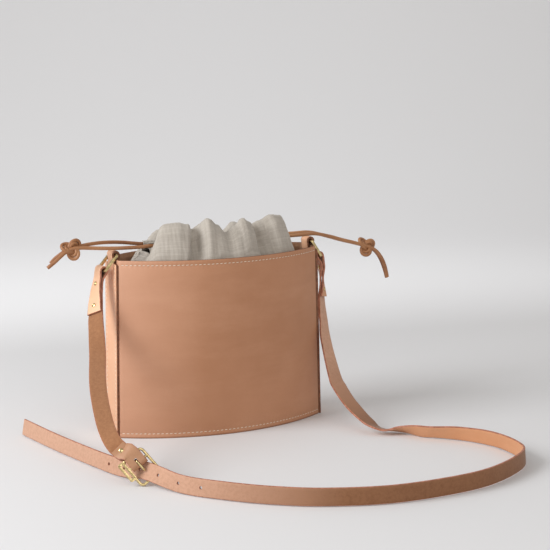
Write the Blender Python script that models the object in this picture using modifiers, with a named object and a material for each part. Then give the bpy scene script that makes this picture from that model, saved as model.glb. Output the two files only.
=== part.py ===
"""A leather drawstring crossbody bag, standing with its strap spread on the floor.

Metres, +Z up. The origin is the middle of the bag's underside. The front panel faces -Y,
the left gusset faces -X. The strap hangs from a ring on each gusset and is fastened by a
buckle in front of the bag's left side.
"""
import math

import bmesh
import bpy
from mathutils import Matrix, Vector

# The leather body
BAG_HEIGHT = 0.195
PANEL_WIDTH_BOTTOM = 0.244
PANEL_WIDTH_TOP = 0.237
BULGE_BOTTOM = 0.0385
BULGE_TOP = 0.0430
GUSSET_WIDTH = 0.035
LEATHER = 0.0024
FLANGE = 0.0083
CORNER_RADIUS = 0.0028
BASE_RIM = 0.011
GAP = 0.0003

# The rings and the leather loops that hold them
RING_WIDTH = 0.0185
RING_REACH = 0.0212
RING_BAR = 0.0028
RING_CORNER = 0.0028
RING_LEAN_LEFT = math.radians(41)
RING_LEAN_RIGHT = math.radians(33)
RING_RISE = 0.0047
LOOP_SLACK = 0.0004
LOOP_BULGE = 0.0012
LOOP_WIDTH = 0.0155
LOOP_TAIL = 0.026
SHOULDER_DROP = 0.0052

# The strap
STRAP_WIDTH = 0.0175
STRAP_THICKNESS = 0.0022
STRAP_TAB = 0.052
STRAP_TAB_SHORT = 0.029
LAYER_GAP = 0.0006
LAYER_EASE = 0.0110
BUCKLE_STRAIGHT = 0.0130
STRAP_LIFT = 0.0009
HOLE_RADIUS = 0.0016
HOLE_PITCH = 0.0260
HOLE_COUNT = 6
HOLE_FIRST = 2.36
TONGUE_SLOT = 0.0034
TONGUE_SLOT_LENGTH = 0.0150
STRAP_SETTLE = 0.0300

# The buckle, whose face looks up and to the front left
BUCKLE_SIDE = -1.369
BUCKLE_AHEAD = 1.0
BUCKLE_LIFT = 0.0008
BUCKLE_TURN = math.radians(-20.4)
BUCKLE_TILT = math.radians(15.8)
BUCKLE_ROLL = math.radians(50)
BUCKLE_BAR = 0.0022
BUCKLE_THICKNESS = 0.0022
BUCKLE_REAR = 0.0095
BUCKLE_FRONT = 0.0200
BUCKLE_INSIDE = 0.0205
BUCKLE_CORNER = 0.0050
KEEPER_INSIDE = 0.0016
KEEPER_LENGTH = 0.0215
TONGUE_RADIUS = 0.0009
TONGUE_LENGTH = 0.0102
STRAP_PASS = 0.0116
STRAP_PASS_SIDE = 0.0010

# The rivets
RIVET_SHANK = 0.0012
RIVET_HEAD = 0.0023
RIVET_CROWN = 0.0009
RIVET_PLAY = 0.0005
RIVET_UPPER = 0.0160
RIVET_LOWER = 0.0420
RIVET_BUCKLE = 0.0215

# The linen pouch and its two casings
LINEN = 0.0010
POUCH_MARGIN = 0.0016
POUCH_END = 0.0105
POUCH_SPAN = 0.160
POUCH_CREST = 0.0375
MOUTH_WIDTH = 0.0130
CASING_RISE = 0.0125
CASING_RADIUS = 0.0031

# The laces
LACE_DIAMETER = 0.0040
LACE_SPACING = 0.0045
KNOT_RADIUS = 0.0068
KNOT_PITCH = 0.0047
KNOT_TURNS = 2.25

# How finely the curved pieces are divided
BOW_STEPS = 22
CORNER_STEPS = 3
TURN_STEPS = 6
ROUTE_STEP = 0.007
POUCH_STATIONS = 24
ROUND_SIDES = 10

LEFT = -1
RIGHT = 1
FRONT = 1
BACK = -1

# Direction of the long strap's width where it leans inside the buckle
STRAP_LEAN = (-0.436, -0.173, -0.884)

# Heights of the panels' rows, as shares of the bag's height
PANEL_ROWS = (0.0, 0.35, 0.7, 1.0)

# Heights of the pouch's rows inside the leather, and of its shoulder over them: how far in
# towards the casing, how far up towards the crest
POUCH_ROWS = (0.023, 0.256, 0.615, 0.913)
POUCH_HUMP = ((0.20, 0.42), (0.33, 0.78), (0.52, 1.0), (0.72, 0.86), (0.88, 0.50))

# Folds of the pouch along its gathered span, from its left end to its right end.
# place: share of half the span, crest: share of POUCH_CREST above the rim,
# puff: how far the fold stands out towards its panel, 1 for as far as the gathers allow
FOLD_COLUMNS = ("place", "crest", "puff")
FRONT_FOLDS = (
    (-1.00, 0.10, 0.20),
    (-0.90, 0.78, 0.70),
    (-0.78, 1.00, 1.00),
    (-0.62, 1.02, 1.00),
    (-0.49, 0.92, 0.88),
    (-0.41, 0.78, 0.50),
    (-0.34, 0.84, 0.55),
    (-0.24, 1.06, 1.00),
    (-0.12, 0.88, 0.96),
    (0.02, 0.66, 0.90),
    (0.14, 0.84, 0.98),
    (0.26, 1.04, 1.00),
    (0.36, 0.86, 0.62),
    (0.44, 0.76, 0.48),
    (0.54, 0.86, 0.72),
    (0.70, 1.06, 1.00),
    (0.84, 1.00, 0.90),
    (0.93, 0.72, 0.60),
    (1.00, 0.10, 0.20),
)
BACK_FOLDS = (
    (-1.00, 0.10, 0.20),
    (-0.86, 0.62, 0.80),
    (-0.64, 0.78, 1.00),
    (-0.42, 0.66, 0.70),
    (-0.16, 0.58, 1.00),
    (0.00, 0.74, 0.90),
    (0.24, 0.44, 0.80),
    (0.44, 0.72, 1.00),
    (0.64, 0.46, 0.70),
    (0.80, 0.66, 0.96),
    (0.92, 0.54, 0.60),
    (1.00, 0.10, 0.20),
)

# Route of the short strap between the left ring and the buckle.
# side: share of half the body's width at that height, ahead: share of the bag's height
# towards the front,
# rise: share of the bag's height, turn and tip: heading and slope of the strap's width
ROUTE_COLUMNS = ("side", "ahead", "rise", "turn", "tip")
SHORT_ROUTE = (
    (-1.139, 0.003, 0.885, -3, 0),
    (-1.168, 0.022, 0.825, -11, 0),
    (-1.204, 0.066, 0.757, -21, 0),
    (-1.246, 0.135, 0.683, -36, 0),
    (-1.316, 0.290, 0.552, -62, 0),
    (-1.445, 0.525, 0.418, -72, -2),
    (-1.518, 0.745, 0.292, -73, -10),
    (-1.529, 0.885, 0.214, -76, -26),
    (-1.469, 0.948, 0.164, -80, -34),
)

# Route of the long strap from the right ring, round on the floor, to the buckle and its tip.
# A rise of 0 lays the strap's lower edge on the floor
LONG_ROUTE = (
    (1.126, 0.001, 0.880, 9, 0),
    (1.130, 0.004, 0.780, 28, 0),
    (1.125, 0.015, 0.668, 46, 0),
    (1.092, 0.062, 0.551, 53, 0),
    (1.058, 0.128, 0.439, 60, 2),
    (1.028, 0.262, 0.262, 66, 8),
    (1.014, 0.345, 0.205, 64, 12),
    (1.019, 0.470, 0.135, 58, 12),
    (1.057, 0.620, 0.066, 46, 8),
    (1.131, 0.695, 0.030, 32, -9),
    (1.275, 0.745, 0.000, 22, -28),
    (1.400, 0.895, 0.000, 22, -50),
    (1.620, 1.030, 0.000, 24, -62),
    (1.770, 1.228, 0.000, 60, -74),
    (1.765, 1.467, 0.000, 120, -82),
    (1.645, 1.616, 0.000, 180, -86),
    (1.283, 1.770, 0.000, 180, -87),
    (0.866, 1.855, 0.000, 180, -88),
    (0.227, 1.862, 0.000, 180, -88),
    (-0.292, 1.757, 0.000, 180, -88),
    (-0.630, 1.618, 0.000, 180, -87),
    (-0.904, 1.449, 0.000, 180, -85),
    (-1.148, 1.240, 0.000, 200, -80),
)
TAIL_ROUTE = (
    (-1.410, 0.820, 0.000, 254, -78),
    (-1.510, 0.581, 0.000, 260, -84),
    (-1.635, 0.178, 0.000, 270, -82),
    (-1.727, -0.218, 0.000, 270, -80),
)

# Points of the laces, from the left end to the right end, in metres: x, y, z
LACE_FRONT = (
    (-0.1925, -0.0030, 0.1905),
    (-0.1850, -0.0045, 0.1965),
    (-0.1780, -0.0040, 0.2020),
    (-0.1710, -0.0024, 0.2065),
    (-0.1640, -0.0022, 0.2090),
    (-0.1560, -0.0024, 0.2095),
    (-0.1450, -0.0036, 0.2088),
    (-0.1320, -0.0055, 0.2079),
    (-0.1180, -0.0076, 0.2072),
    (-0.1030, -0.0092, 0.2070),
    (-0.0880, -0.0098, 0.2070),
    (-0.0780, -0.0098, 0.2075),
    (-0.0400, -0.0098, 0.2075),
    (0.0000, -0.0098, 0.2075),
    (0.0400, -0.0098, 0.2075),
    (0.0780, -0.0098, 0.2075),
    (0.0880, -0.0098, 0.2074),
    (0.1050, -0.0090, 0.2074),
    (0.1230, -0.0076, 0.2073),
    (0.1420, -0.0056, 0.2030),
    (0.1600, -0.0038, 0.1975),
    (0.1760, -0.0026, 0.1930),
    (0.1900, -0.0022, 0.1886),
    (0.1990, -0.0024, 0.1852),
    (0.2060, -0.0036, 0.1802),
    (0.2115, -0.0050, 0.1722),
    (0.2155, -0.0056, 0.1625),
    (0.2185, -0.0056, 0.1500),
)
LACE_BACK = (
    (-0.1865, 0.0050, 0.1940),
    (-0.1820, 0.0048, 0.1985),
    (-0.1770, 0.0034, 0.2025),
    (-0.1710, 0.0024, 0.2065),
    (-0.1640, 0.0022, 0.2090),
    (-0.1560, 0.0024, 0.2105),
    (-0.1450, 0.0036, 0.2118),
    (-0.1320, 0.0055, 0.2124),
    (-0.1180, 0.0076, 0.2120),
    (-0.1030, 0.0092, 0.2106),
    (-0.0880, 0.0098, 0.2084),
    (-0.0780, 0.0098, 0.2075),
    (-0.0400, 0.0098, 0.2075),
    (0.0000, 0.0098, 0.2075),
    (0.0400, 0.0098, 0.2075),
    (0.0780, 0.0098, 0.2075),
    (0.0880, 0.0098, 0.2072),
    (0.1050, 0.0090, 0.2074),
    (0.1230, 0.0076, 0.2073),
    (0.1420, 0.0056, 0.2026),
    (0.1600, 0.0038, 0.1970),
    (0.1760, 0.0026, 0.1926),
    (0.1900, 0.0022, 0.1886),
    (0.1990, 0.0024, 0.1850),
    (0.2075, 0.0034, 0.1798),
    (0.2145, 0.0046, 0.1710),
    (0.2200, 0.0050, 0.1590),
    (0.2235, 0.0050, 0.1475),
)
# Middle of each knot and the direction in which the laces run through it
KNOT_LEFT = ((-0.1640, 0.0, 0.2088), (1.0, 0.0, 0.20))
KNOT_RIGHT = ((0.1935, 0.0, 0.1874), (1.0, 0.0, -0.32))


def material(name, colour, roughness, metallic=0.0):
    """Make a plain material with one colour."""
    made = bpy.data.materials.new(name)
    made.use_nodes = True
    shader = made.node_tree.nodes["Principled BSDF"]
    shader.inputs["Base Color"].default_value = (*colour, 1.0)
    shader.inputs["Roughness"].default_value = roughness
    shader.inputs["Metallic"].default_value = metallic
    made.diffuse_color = (*colour, 1.0)
    return made


def blend(low, high, share):
    """Return the value at a share of the way from low to high."""
    return low + (high - low) * share


def half_width(height):
    """Return half the inside distance between the gussets at a height."""
    return blend(PANEL_WIDTH_BOTTOM, PANEL_WIDTH_TOP, height / BAG_HEIGHT) / 2


def bow(height):
    """Return the radius of a panel's outer face and the Y of its centre, front panel."""
    bulge = blend(BULGE_BOTTOM, BULGE_TOP, height / BAG_HEIGHT)
    half = half_width(height)
    radius = (half * half + bulge * bulge) / (2 * bulge)
    return radius, radius - bulge - GUSSET_WIDTH / 2


def bow_arc(height, inset, half, steps):
    """Return the front arc from left to right, inset from the panel's outer face."""
    radius, middle = bow(height)
    radius -= inset
    reach = math.asin(half / radius)
    angles = [blend(-reach, reach, i / steps) for i in range(steps + 1)]
    return [(radius * math.sin(a), middle - radius * math.cos(a)) for a in angles]


def panel_section(height):
    """Return a panel's middle line at a height: flange, corner, bow, corner, flange."""
    radius, middle = bow(height)
    radius -= LEATHER / 2
    side = half_width(height) - GAP - LEATHER / 2
    reach = math.asin((side - CORNER_RADIUS) / (radius - CORNER_RADIUS))
    arc_half = radius * math.sin(reach)
    centre = (
        (radius - CORNER_RADIUS) * math.sin(reach),
        middle - (radius - CORNER_RADIUS) * math.cos(reach),
    )
    right = []
    for i in range(1, CORNER_STEPS + 1):
        angle = blend(reach, math.pi / 2, i / CORNER_STEPS)
        x = centre[0] + CORNER_RADIUS * math.sin(angle)
        y = centre[1] - CORNER_RADIUS * math.cos(angle)
        right.append((x, y))
    right.append((side, -GUSSET_WIDTH / 2 + FLANGE))
    left = [(-x, y) for x, y in reversed(right)]
    return left + bow_arc(height, LEATHER / 2, arc_half, BOW_STEPS) + right


def link(name, mesh, paint, folder):
    """Put a mesh into the scene as a named object."""
    body = bpy.data.objects.new(name, mesh)
    body.data.materials.append(paint)
    folder.objects.link(body)
    return body


def loft(name, rows, paint, folder, closed=False, skip=()):
    """Join rows of points into a sheet. skip lists (row, column) cells that stay open."""
    sheet = bmesh.new()
    grid = [[sheet.verts.new(point) for point in row] for row in rows]
    count = len(rows[0])
    for i in range(len(rows) - 1):
        for j in range(count if closed else count - 1):
            if (i, j) not in skip:
                k = (j + 1) % count
                sheet.faces.new((grid[i][j], grid[i][k], grid[i + 1][k], grid[i + 1][j]))
    mesh = bpy.data.meshes.new(name)
    sheet.to_mesh(mesh)
    sheet.free()
    return link(name, mesh, paint, folder)


def thicken(body, thickness):
    """Give a sheet its wall, half on each side."""
    wall = body.modifiers.new("wall", "SOLIDIFY")
    wall.thickness = thickness
    wall.offset = 0.0
    wall.use_even_offset = True
    return body


def cut(body, cutter):
    """Take a cutter out of a body."""
    knife = body.modifiers.new("cut", "BOOLEAN")
    knife.operation = "DIFFERENCE"
    knife.object = cutter


def smooth(points, step):
    """Return points along a smooth curve through vectors of any length, about a step apart."""
    out = []
    for i in range(len(points) - 1):
        before = points[max(i - 1, 0)]
        start = points[i]
        end = points[i + 1]
        after = points[min(i + 2, len(points) - 1)]
        count = max(1, round((end - start).length / step))
        for j in range(count):
            t = j / count
            out.append(
                0.5
                * (
                    2 * start
                    + (end - before) * t
                    + (2 * before - 5 * start + 4 * end - after) * t * t
                    + (3 * start - before - 3 * end + after) * t * t * t
                )
            )
    out.append(points[-1])
    return out


def panels(paint, folder):
    """Make the front and back panels, whose flanges turn in behind the gussets."""
    for name, facing in (("front_panel", 1), ("back_panel", -1)):
        rows = []
        for share in PANEL_ROWS:
            height = share * BAG_HEIGHT
            section = panel_section(height)
            rows.append([(x * facing, y * facing, height) for x, y in section])
        thicken(loft(name, rows, paint, folder), LEATHER)


def base_outline(height):
    """Return the middle line of the base's turned-up rim, front and back arcs."""
    inset = LEATHER + GAP + LEATHER / 2
    half = half_width(height) - 2 * GAP - 1.5 * LEATHER - CORNER_RADIUS
    front = bow_arc(height, inset, half, BOW_STEPS)
    return front, [(-x, -y) for x, y in front]


def base(paint, folder):
    """Make the lens-shaped base with its rim turned up inside the panels."""
    tray = bmesh.new()
    rings = []
    for height in (LEATHER / 2, LEATHER / 2 + BASE_RIM / 2, BASE_RIM):
        front, back = base_outline(height)
        rings.append([tray.verts.new((x, y, height)) for x, y in front + back])
    count = len(rings[0])
    for low, high in zip(rings, rings[1:]):
        for i in range(count):
            j = (i + 1) % count
            tray.faces.new((low[i], low[j], high[j], high[i]))
    half = count // 2
    for i in range(half - 1):
        tray.faces.new((rings[0][i + 1], rings[0][i], rings[0][count - 1 - i], rings[0][count - 2 - i]))
    mesh = bpy.data.meshes.new("base_panel")
    tray.to_mesh(mesh)
    tray.free()
    thicken(link("base_panel", mesh, paint, folder), LEATHER)


def loop_centre(side):
    """Return the middle of the ring bar that a gusset's loop holds."""
    across = half_width(BAG_HEIGHT) + LEATHER / 2 - loop_radius() + LOOP_BULGE
    return Vector((side * across, 0.0, BAG_HEIGHT + RING_RISE))


def loop_radius():
    """Return the radius of the leather's middle line round a ring bar."""
    return RING_BAR / math.sqrt(2) + LOOP_SLACK + LEATHER / 2


def gusset(name, side, paint, folder):
    """Make a gusset: a strip whose top narrows, turns over the ring bar and ends inside."""
    wide = GUSSET_WIDTH / 2
    narrow = LOOP_WIDTH / 2
    centre = loop_centre(side)
    radius = loop_radius()
    across = abs(centre.x)
    # profile: distance from the middle of the bag, height, half width
    profile = []
    for height in (0.0, BAG_HEIGHT / 2, BAG_HEIGHT - SHOULDER_DROP):
        profile.append((half_width(height) + LEATHER / 2, height, wide))
    top = half_width(BAG_HEIGHT) + LEATHER / 2
    profile.append((top, BAG_HEIGHT - SHOULDER_DROP + 0.002, narrow))
    profile.append((top + LOOP_BULGE * 0.3, BAG_HEIGHT, narrow))
    for i in range(TURN_STEPS + 1):
        angle = math.pi * i / TURN_STEPS
        profile.append(
            (across + radius * math.cos(angle), centre.z + radius * math.sin(angle), narrow)
        )
    inner = half_width(BAG_HEIGHT) - GAP - LEATHER / 2
    profile.append((across - radius + 0.0008, BAG_HEIGHT - 0.002, narrow))
    profile.append((inner, BAG_HEIGHT - 0.010, narrow))
    profile.append((inner, BAG_HEIGHT - LOOP_TAIL, narrow))
    rows = [[(side * x, -w, z), (side * x, w, z)] for x, z, w in profile]
    thicken(loft(name, rows, paint, folder), LEATHER)


def rounded(width, height, corner, centre=(0.0, 0.0)):
    """Return the corner points of a rounded rectangle, counter-clockwise."""
    points = []
    for turn, (sx, sy) in enumerate(((1, 1), (-1, 1), (-1, -1), (1, -1))):
        cx = centre[0] + sx * (width / 2 - corner)
        cy = centre[1] + sy * (height / 2 - corner)
        for i in range(CORNER_STEPS + 1):
            angle = math.pi / 2 * (turn + i / CORNER_STEPS)
            points.append((cx + corner * math.cos(angle), cy + corner * math.sin(angle)))
    return points


def plate(name, outlines, thickness, place, paint, folder):
    """Make a flat piece with windows from outlines, laid in a plane by a matrix."""
    flat = bpy.data.curves.new(name, "CURVE")
    flat.dimensions = "2D"
    flat.fill_mode = "BOTH"
    flat.extrude = thickness / 2
    for outline in outlines:
        spline = flat.splines.new("POLY")
        spline.points.add(len(outline) - 1)
        for point, (x, y) in zip(spline.points, outline):
            point.co = (x, y, 0.0, 1.0)
        spline.use_cyclic_u = True
    body = bpy.data.objects.new(name, flat)
    flat.materials.append(paint)
    body.matrix_world = place
    folder.objects.link(body)
    return body


def frame_matrix(origin, along, across):
    """Return the matrix of a plane whose X runs along and whose Y runs nearly across."""
    x_axis = along.normalized()
    z_axis = x_axis.cross(across).normalized()
    y_axis = z_axis.cross(x_axis)
    turn = Matrix((x_axis, y_axis, z_axis)).transposed().to_4x4()
    return Matrix.Translation(origin) @ turn


def ring_way(side, lean):
    """Return the direction from a ring's upper bar to its lower one."""
    return Vector((side * math.sin(lean), 0.0, -math.cos(lean)))


def ring(name, side, lean, paint, folder):
    """Make a rectangular ring that hangs out from its loop."""
    way = ring_way(side, lean)
    middle = loop_centre(side) + way * RING_REACH / 2
    place = frame_matrix(middle, way, Vector((0.0, 1.0, 0.0)))
    long = RING_REACH + RING_BAR
    wide = RING_WIDTH + 2 * RING_BAR
    outside = rounded(long, wide, RING_CORNER)
    inside = rounded(long - 2 * RING_BAR, RING_WIDTH, RING_CORNER / 3)
    plate(name, (outside, inside), RING_BAR, place, paint, folder)


def strap_place(row):
    """Return the middle of the strap and its width's direction for one row of a route."""
    side, ahead, rise, turn, tip = row
    turn, tip = math.radians(turn), math.radians(tip)
    across = Vector(
        (math.sin(turn) * math.cos(tip), math.cos(turn) * math.cos(tip), math.sin(tip))
    )
    lowest = (
        abs(across.z) * STRAP_WIDTH / 2
        + math.sqrt(1 - across.z**2) * STRAP_THICKNESS / 2
        + STRAP_LIFT
    )
    return (
        Vector(
            (
                side * half_width(rise * BAG_HEIGHT),
                -ahead * BAG_HEIGHT,
                max(rise * BAG_HEIGHT, lowest),
            )
        ),
        across,
    )


def buckle_axes():
    """Return the buckle's length, width and face directions."""
    face = Vector(
        (
            math.sin(BUCKLE_TURN) * math.cos(BUCKLE_TILT),
            -math.cos(BUCKLE_TURN) * math.cos(BUCKLE_TILT),
            math.sin(BUCKLE_TILT),
        )
    )
    level = Vector((0.0, 0.0, 1.0)).cross(face).normalized()
    upright = face.cross(level)
    length = level * math.cos(BUCKLE_ROLL) - upright * math.sin(BUCKLE_ROLL)
    width = level * math.sin(BUCKLE_ROLL) + upright * math.cos(BUCKLE_ROLL)
    return length, width, face


def buckle_place():
    """Return the middle of the buckle's middle bar; its lowest corner is just off the floor."""
    length, width, _ = buckle_axes()
    low_front = BUCKLE_FRONT + BUCKLE_BAR / 2
    low_side = BUCKLE_INSIDE / 2 + BUCKLE_BAR
    rounding = BUCKLE_CORNER * (math.sqrt(2) - 1)
    height = abs(length.z) * low_front + abs(width.z) * low_side - rounding
    return Vector(
        (
            BUCKLE_SIDE * half_width(0.0),
            -BUCKLE_AHEAD * BAG_HEIGHT,
            height + BUCKLE_LIFT,
        )
    )


def strap_line(places):
    """Return smooth stations (middle, width direction, face direction, distance)."""
    points = smooth([place for place, _ in places], ROUTE_STEP)
    knots = [0.0]
    for (a, _), (b, _) in zip(places, places[1:]):
        knots.append(knots[-1] + (b - a).length)
    travelled = [0.0]
    for a, b in zip(points, points[1:]):
        travelled.append(travelled[-1] + (b - a).length)
    stretch = knots[-1] / travelled[-1]
    stations = []
    for i, point in enumerate(points):
        at = travelled[i] * stretch
        k = max(j for j in range(len(knots) - 1) if knots[j] <= at + 1e-9)
        share = (at - knots[k]) / (knots[k + 1] - knots[k])
        share = share * share * (3 - 2 * share)
        ahead = points[min(i + 1, len(points) - 1)] - points[max(i - 1, 0)]
        ahead.normalize()
        across = places[k][1].lerp(places[k + 1][1], min(share, 1.0))
        across = (across - ahead * across.dot(ahead)).normalized()
        stations.append((point, across, ahead.cross(across), travelled[i]))
    return stations


def bar_offset(distance, bar, hold=0.0):
    """Return how far a layer lies from the strap's middle, near a bar and away from it."""
    near = bar + LAYER_GAP + STRAP_THICKNESS / 2
    far = (LAYER_GAP + STRAP_THICKNESS) / 2
    share = min(max((distance - hold) / LAYER_EASE, 0.0), 1.0)
    return blend(near, far, share * share * (3 - 2 * share))


def turn_round(station, way, bar, side):
    """Return stations round a bar, from the strap's main layer to its folded layer."""
    middle, across, face, _ = station
    radius = bar_offset(0.0, bar)
    out = []
    for i in range(1, TURN_STEPS):
        angle = math.pi * i / TURN_STEPS
        out.append(
            (
                middle + way * radius * math.sin(angle) - face * side * radius * math.cos(angle),
                across,
            )
        )
    return out


def strap_body(name, layers, paint, folder):
    """Make a strap from (middle, width direction) stations."""
    rows = []
    for middle, across in layers:
        reach = across * STRAP_WIDTH / 2
        rows.append([middle - reach, middle, middle + reach])
    return thicken(loft(name, rows, paint, folder), STRAP_THICKNESS)


def folded(stations, tab, bar, side, hold=0.0):
    """Return the folded layer of a strap's end, from its own edge to the bar."""
    kept = [s for s in stations if s[3] <= tab]
    return [(s[0] + s[2] * side * bar_offset(s[3], bar, hold), s[1]) for s in reversed(kept)]


def reversed_line(stations):
    """Return the same line walked from its other end, with its face kept."""
    total = stations[-1][3]
    return [(s[0], s[1], s[2], total - s[3]) for s in reversed(stations)]


def at_distance(stations, distance):
    """Return the middle and the face of the strap at a distance along it."""
    station = min(stations, key=lambda s: abs(s[3] - distance))
    for a, b in zip(stations, stations[1:]):
        if a[3] <= distance <= b[3]:
            share = (distance - a[3]) / (b[3] - a[3])
            return a[0].lerp(b[0], share), a[2].lerp(b[2], share).normalized()
    return station[0], station[2]


def peg(name, middle, face, radius, length, folder):
    """Make a round cutter through a strap."""
    turn = Vector((0.0, 0.0, 1.0)).rotation_difference(face).to_matrix().to_4x4()
    bit = bmesh.new()
    bmesh.ops.create_cone(
        bit, cap_ends=True, segments=ROUND_SIDES, radius1=radius, radius2=radius, depth=length
    )
    mesh = bpy.data.meshes.new(name)
    bit.to_mesh(mesh)
    bit.free()
    cutter = bpy.data.objects.new(name, mesh)
    cutter.matrix_world = Matrix.Translation(middle) @ turn
    cutter.hide_render = True
    cutter.display_type = "WIRE"
    folder.objects.link(cutter)
    return cutter


def rivet(name, middle, face, paint, folder):
    """Make a rivet through two layers of strap, with a low crown on each side."""
    grip = STRAP_THICKNESS + LAYER_GAP / 2 + RIVET_PLAY
    profile = (
        (0.0, grip + RIVET_CROWN),
        (RIVET_HEAD * 0.6, grip + RIVET_CROWN * 0.85),
        (RIVET_HEAD, grip + RIVET_CROWN * 0.3),
        (RIVET_HEAD * 0.95, grip),
        (RIVET_SHANK, grip),
        (RIVET_SHANK, -grip),
        (RIVET_HEAD * 0.95, -grip),
        (RIVET_HEAD, -grip - RIVET_CROWN * 0.3),
        (RIVET_HEAD * 0.6, -grip - RIVET_CROWN * 0.85),
        (0.0, -grip - RIVET_CROWN),
    )
    line = bmesh.new()
    verts = [line.verts.new((r, 0.0, z)) for r, z in profile]
    for a, b in zip(verts, verts[1:]):
        line.edges.new((a, b))
    mesh = bpy.data.meshes.new(name)
    line.to_mesh(mesh)
    line.free()
    body = link(name, mesh, paint, folder)
    turn = Vector((0.0, 0.0, 1.0)).rotation_difference(face).to_matrix().to_4x4()
    body.matrix_world = Matrix.Translation(middle) @ turn
    lathe = body.modifiers.new("turned", "SCREW")
    lathe.steps = ROUND_SIDES
    lathe.render_steps = ROUND_SIDES
    lathe.use_merge_vertices = True
    lathe.merge_threshold = 0.00005


def riveted(strap, name, middle, face, paint, folder, cutters):
    """Drill a strap's two layers and set a rivet in the hole."""
    depth = 4 * (STRAP_THICKNESS + LAYER_GAP)
    drill = peg(name + "_drill", middle, face, RIVET_SHANK + GAP, depth, cutters)
    cut(strap, drill)
    rivet(name, middle, face, paint, folder)


def block(name, place, size, folder):
    """Make a box cutter of a size in a place."""
    box = bmesh.new()
    bmesh.ops.create_cube(box, size=1.0)
    mesh = bpy.data.meshes.new(name)
    box.to_mesh(mesh)
    box.free()
    cutter = bpy.data.objects.new(name, mesh)
    cutter.matrix_world = place @ Matrix.Diagonal((*size, 1.0))
    cutter.hide_render = True
    cutter.display_type = "WIRE"
    folder.objects.link(cutter)
    return cutter


def short_strap(leather, brass, folder, cutters):
    """Make the strap from the left ring to the buckle, folded and riveted at both ends."""
    start = loop_centre(LEFT) + ring_way(LEFT, RING_LEAN_LEFT) * RING_REACH
    length, width, face = buckle_axes()
    buckle_middle = buckle_place()
    places = [(start, Vector((0.0, 1.0, 0.0)))]
    places += [strap_place(row) for row in SHORT_ROUTE]
    places += [(buckle_middle - length * reach, -width) for reach in (BUCKLE_STRAIGHT, 0.0)]
    line = strap_line(places)
    back = reversed_line(line)
    ring_bar = RING_BAR / math.sqrt(2)
    buckle_bar = math.hypot(BUCKLE_BAR, BUCKLE_THICKNESS) / 2
    total = line[-1][3]
    hold = BUCKLE_REAR + BUCKLE_BAR / 2 + GAP
    outward = (line[0][0] - line[1][0]).normalized()
    layers = folded(line, STRAP_TAB, ring_bar, BACK)
    layers += reversed(turn_round(line[0], outward, ring_bar, BACK))
    for middle, across, out, gone in line:
        lift = max(bar_offset(gone, ring_bar), bar_offset(total - gone, buckle_bar, hold))
        layers.append((middle + out * lift, across))
    layers += turn_round(line[-1], length, buckle_bar, BACK)
    layers += reversed(folded(back, STRAP_TAB_SHORT, buckle_bar, BACK, hold))
    strap = strap_body("strap_short", layers, leather, folder)
    for name, stations, distance in (
        ("rivet_left_upper", line, RIVET_UPPER),
        ("rivet_left_lower", line, RIVET_LOWER),
        ("rivet_buckle", back, RIVET_BUCKLE),
    ):
        middle, out = at_distance(stations, distance)
        riveted(strap, name, middle, out, brass, folder, cutters)
    place = frame_matrix(buckle_middle, length, width)
    size = (TONGUE_SLOT_LENGTH, TONGUE_SLOT, 4 * (buckle_bar + STRAP_THICKNESS))
    cut(strap, block("tongue_slot", place, size, cutters))


def long_strap(leather, brass, folder, cutters):
    """Make the strap from the right ring round on the floor to its tip past the buckle."""
    start = loop_centre(RIGHT) + ring_way(RIGHT, RING_LEAN_RIGHT) * RING_REACH
    length, width, face = buckle_axes()
    # the strap leans where it passes through the buckle's front window
    through = buckle_place() + length * STRAP_PASS + width * STRAP_PASS_SIDE
    places = [(start, Vector((0.0, 1.0, 0.0)))]
    places += [strap_place(row) for row in LONG_ROUTE]
    places += [(through, Vector(STRAP_LEAN).normalized())]
    places += [strap_place(row) for row in TAIL_ROUTE]
    line = strap_line(places)
    ring_bar = RING_BAR / math.sqrt(2)
    outward = (line[0][0] - line[1][0]).normalized()
    layers = folded(line, STRAP_TAB, ring_bar, FRONT)
    layers += reversed(turn_round(line[0], outward, ring_bar, FRONT))
    for middle, across, out, gone in line:
        # beyond its folded end the single layer comes back to the middle of the route
        share = min(max((gone - STRAP_TAB) / STRAP_SETTLE, 0.0), 1.0)
        layers.append((middle - out * bar_offset(gone, ring_bar) * (1 - share), across))
    strap = strap_body("strap_long", layers, leather, folder)
    for name, distance in (("rivet_right_upper", RIVET_UPPER), ("rivet_right_lower", RIVET_LOWER)):
        middle, out = at_distance(line, distance)
        riveted(strap, name, middle, out, brass, folder, cutters)
    buckle_at = min(line, key=lambda s: (s[0] - through).length)[3]
    for i in range(HOLE_COUNT):
        middle, out = at_distance(line, buckle_at + (HOLE_FIRST - i) * HOLE_PITCH)
        drill = peg(f"strap_hole_{i + 1}", middle, out, HOLE_RADIUS, 3 * STRAP_THICKNESS, cutters)
        cut(strap, drill)


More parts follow.
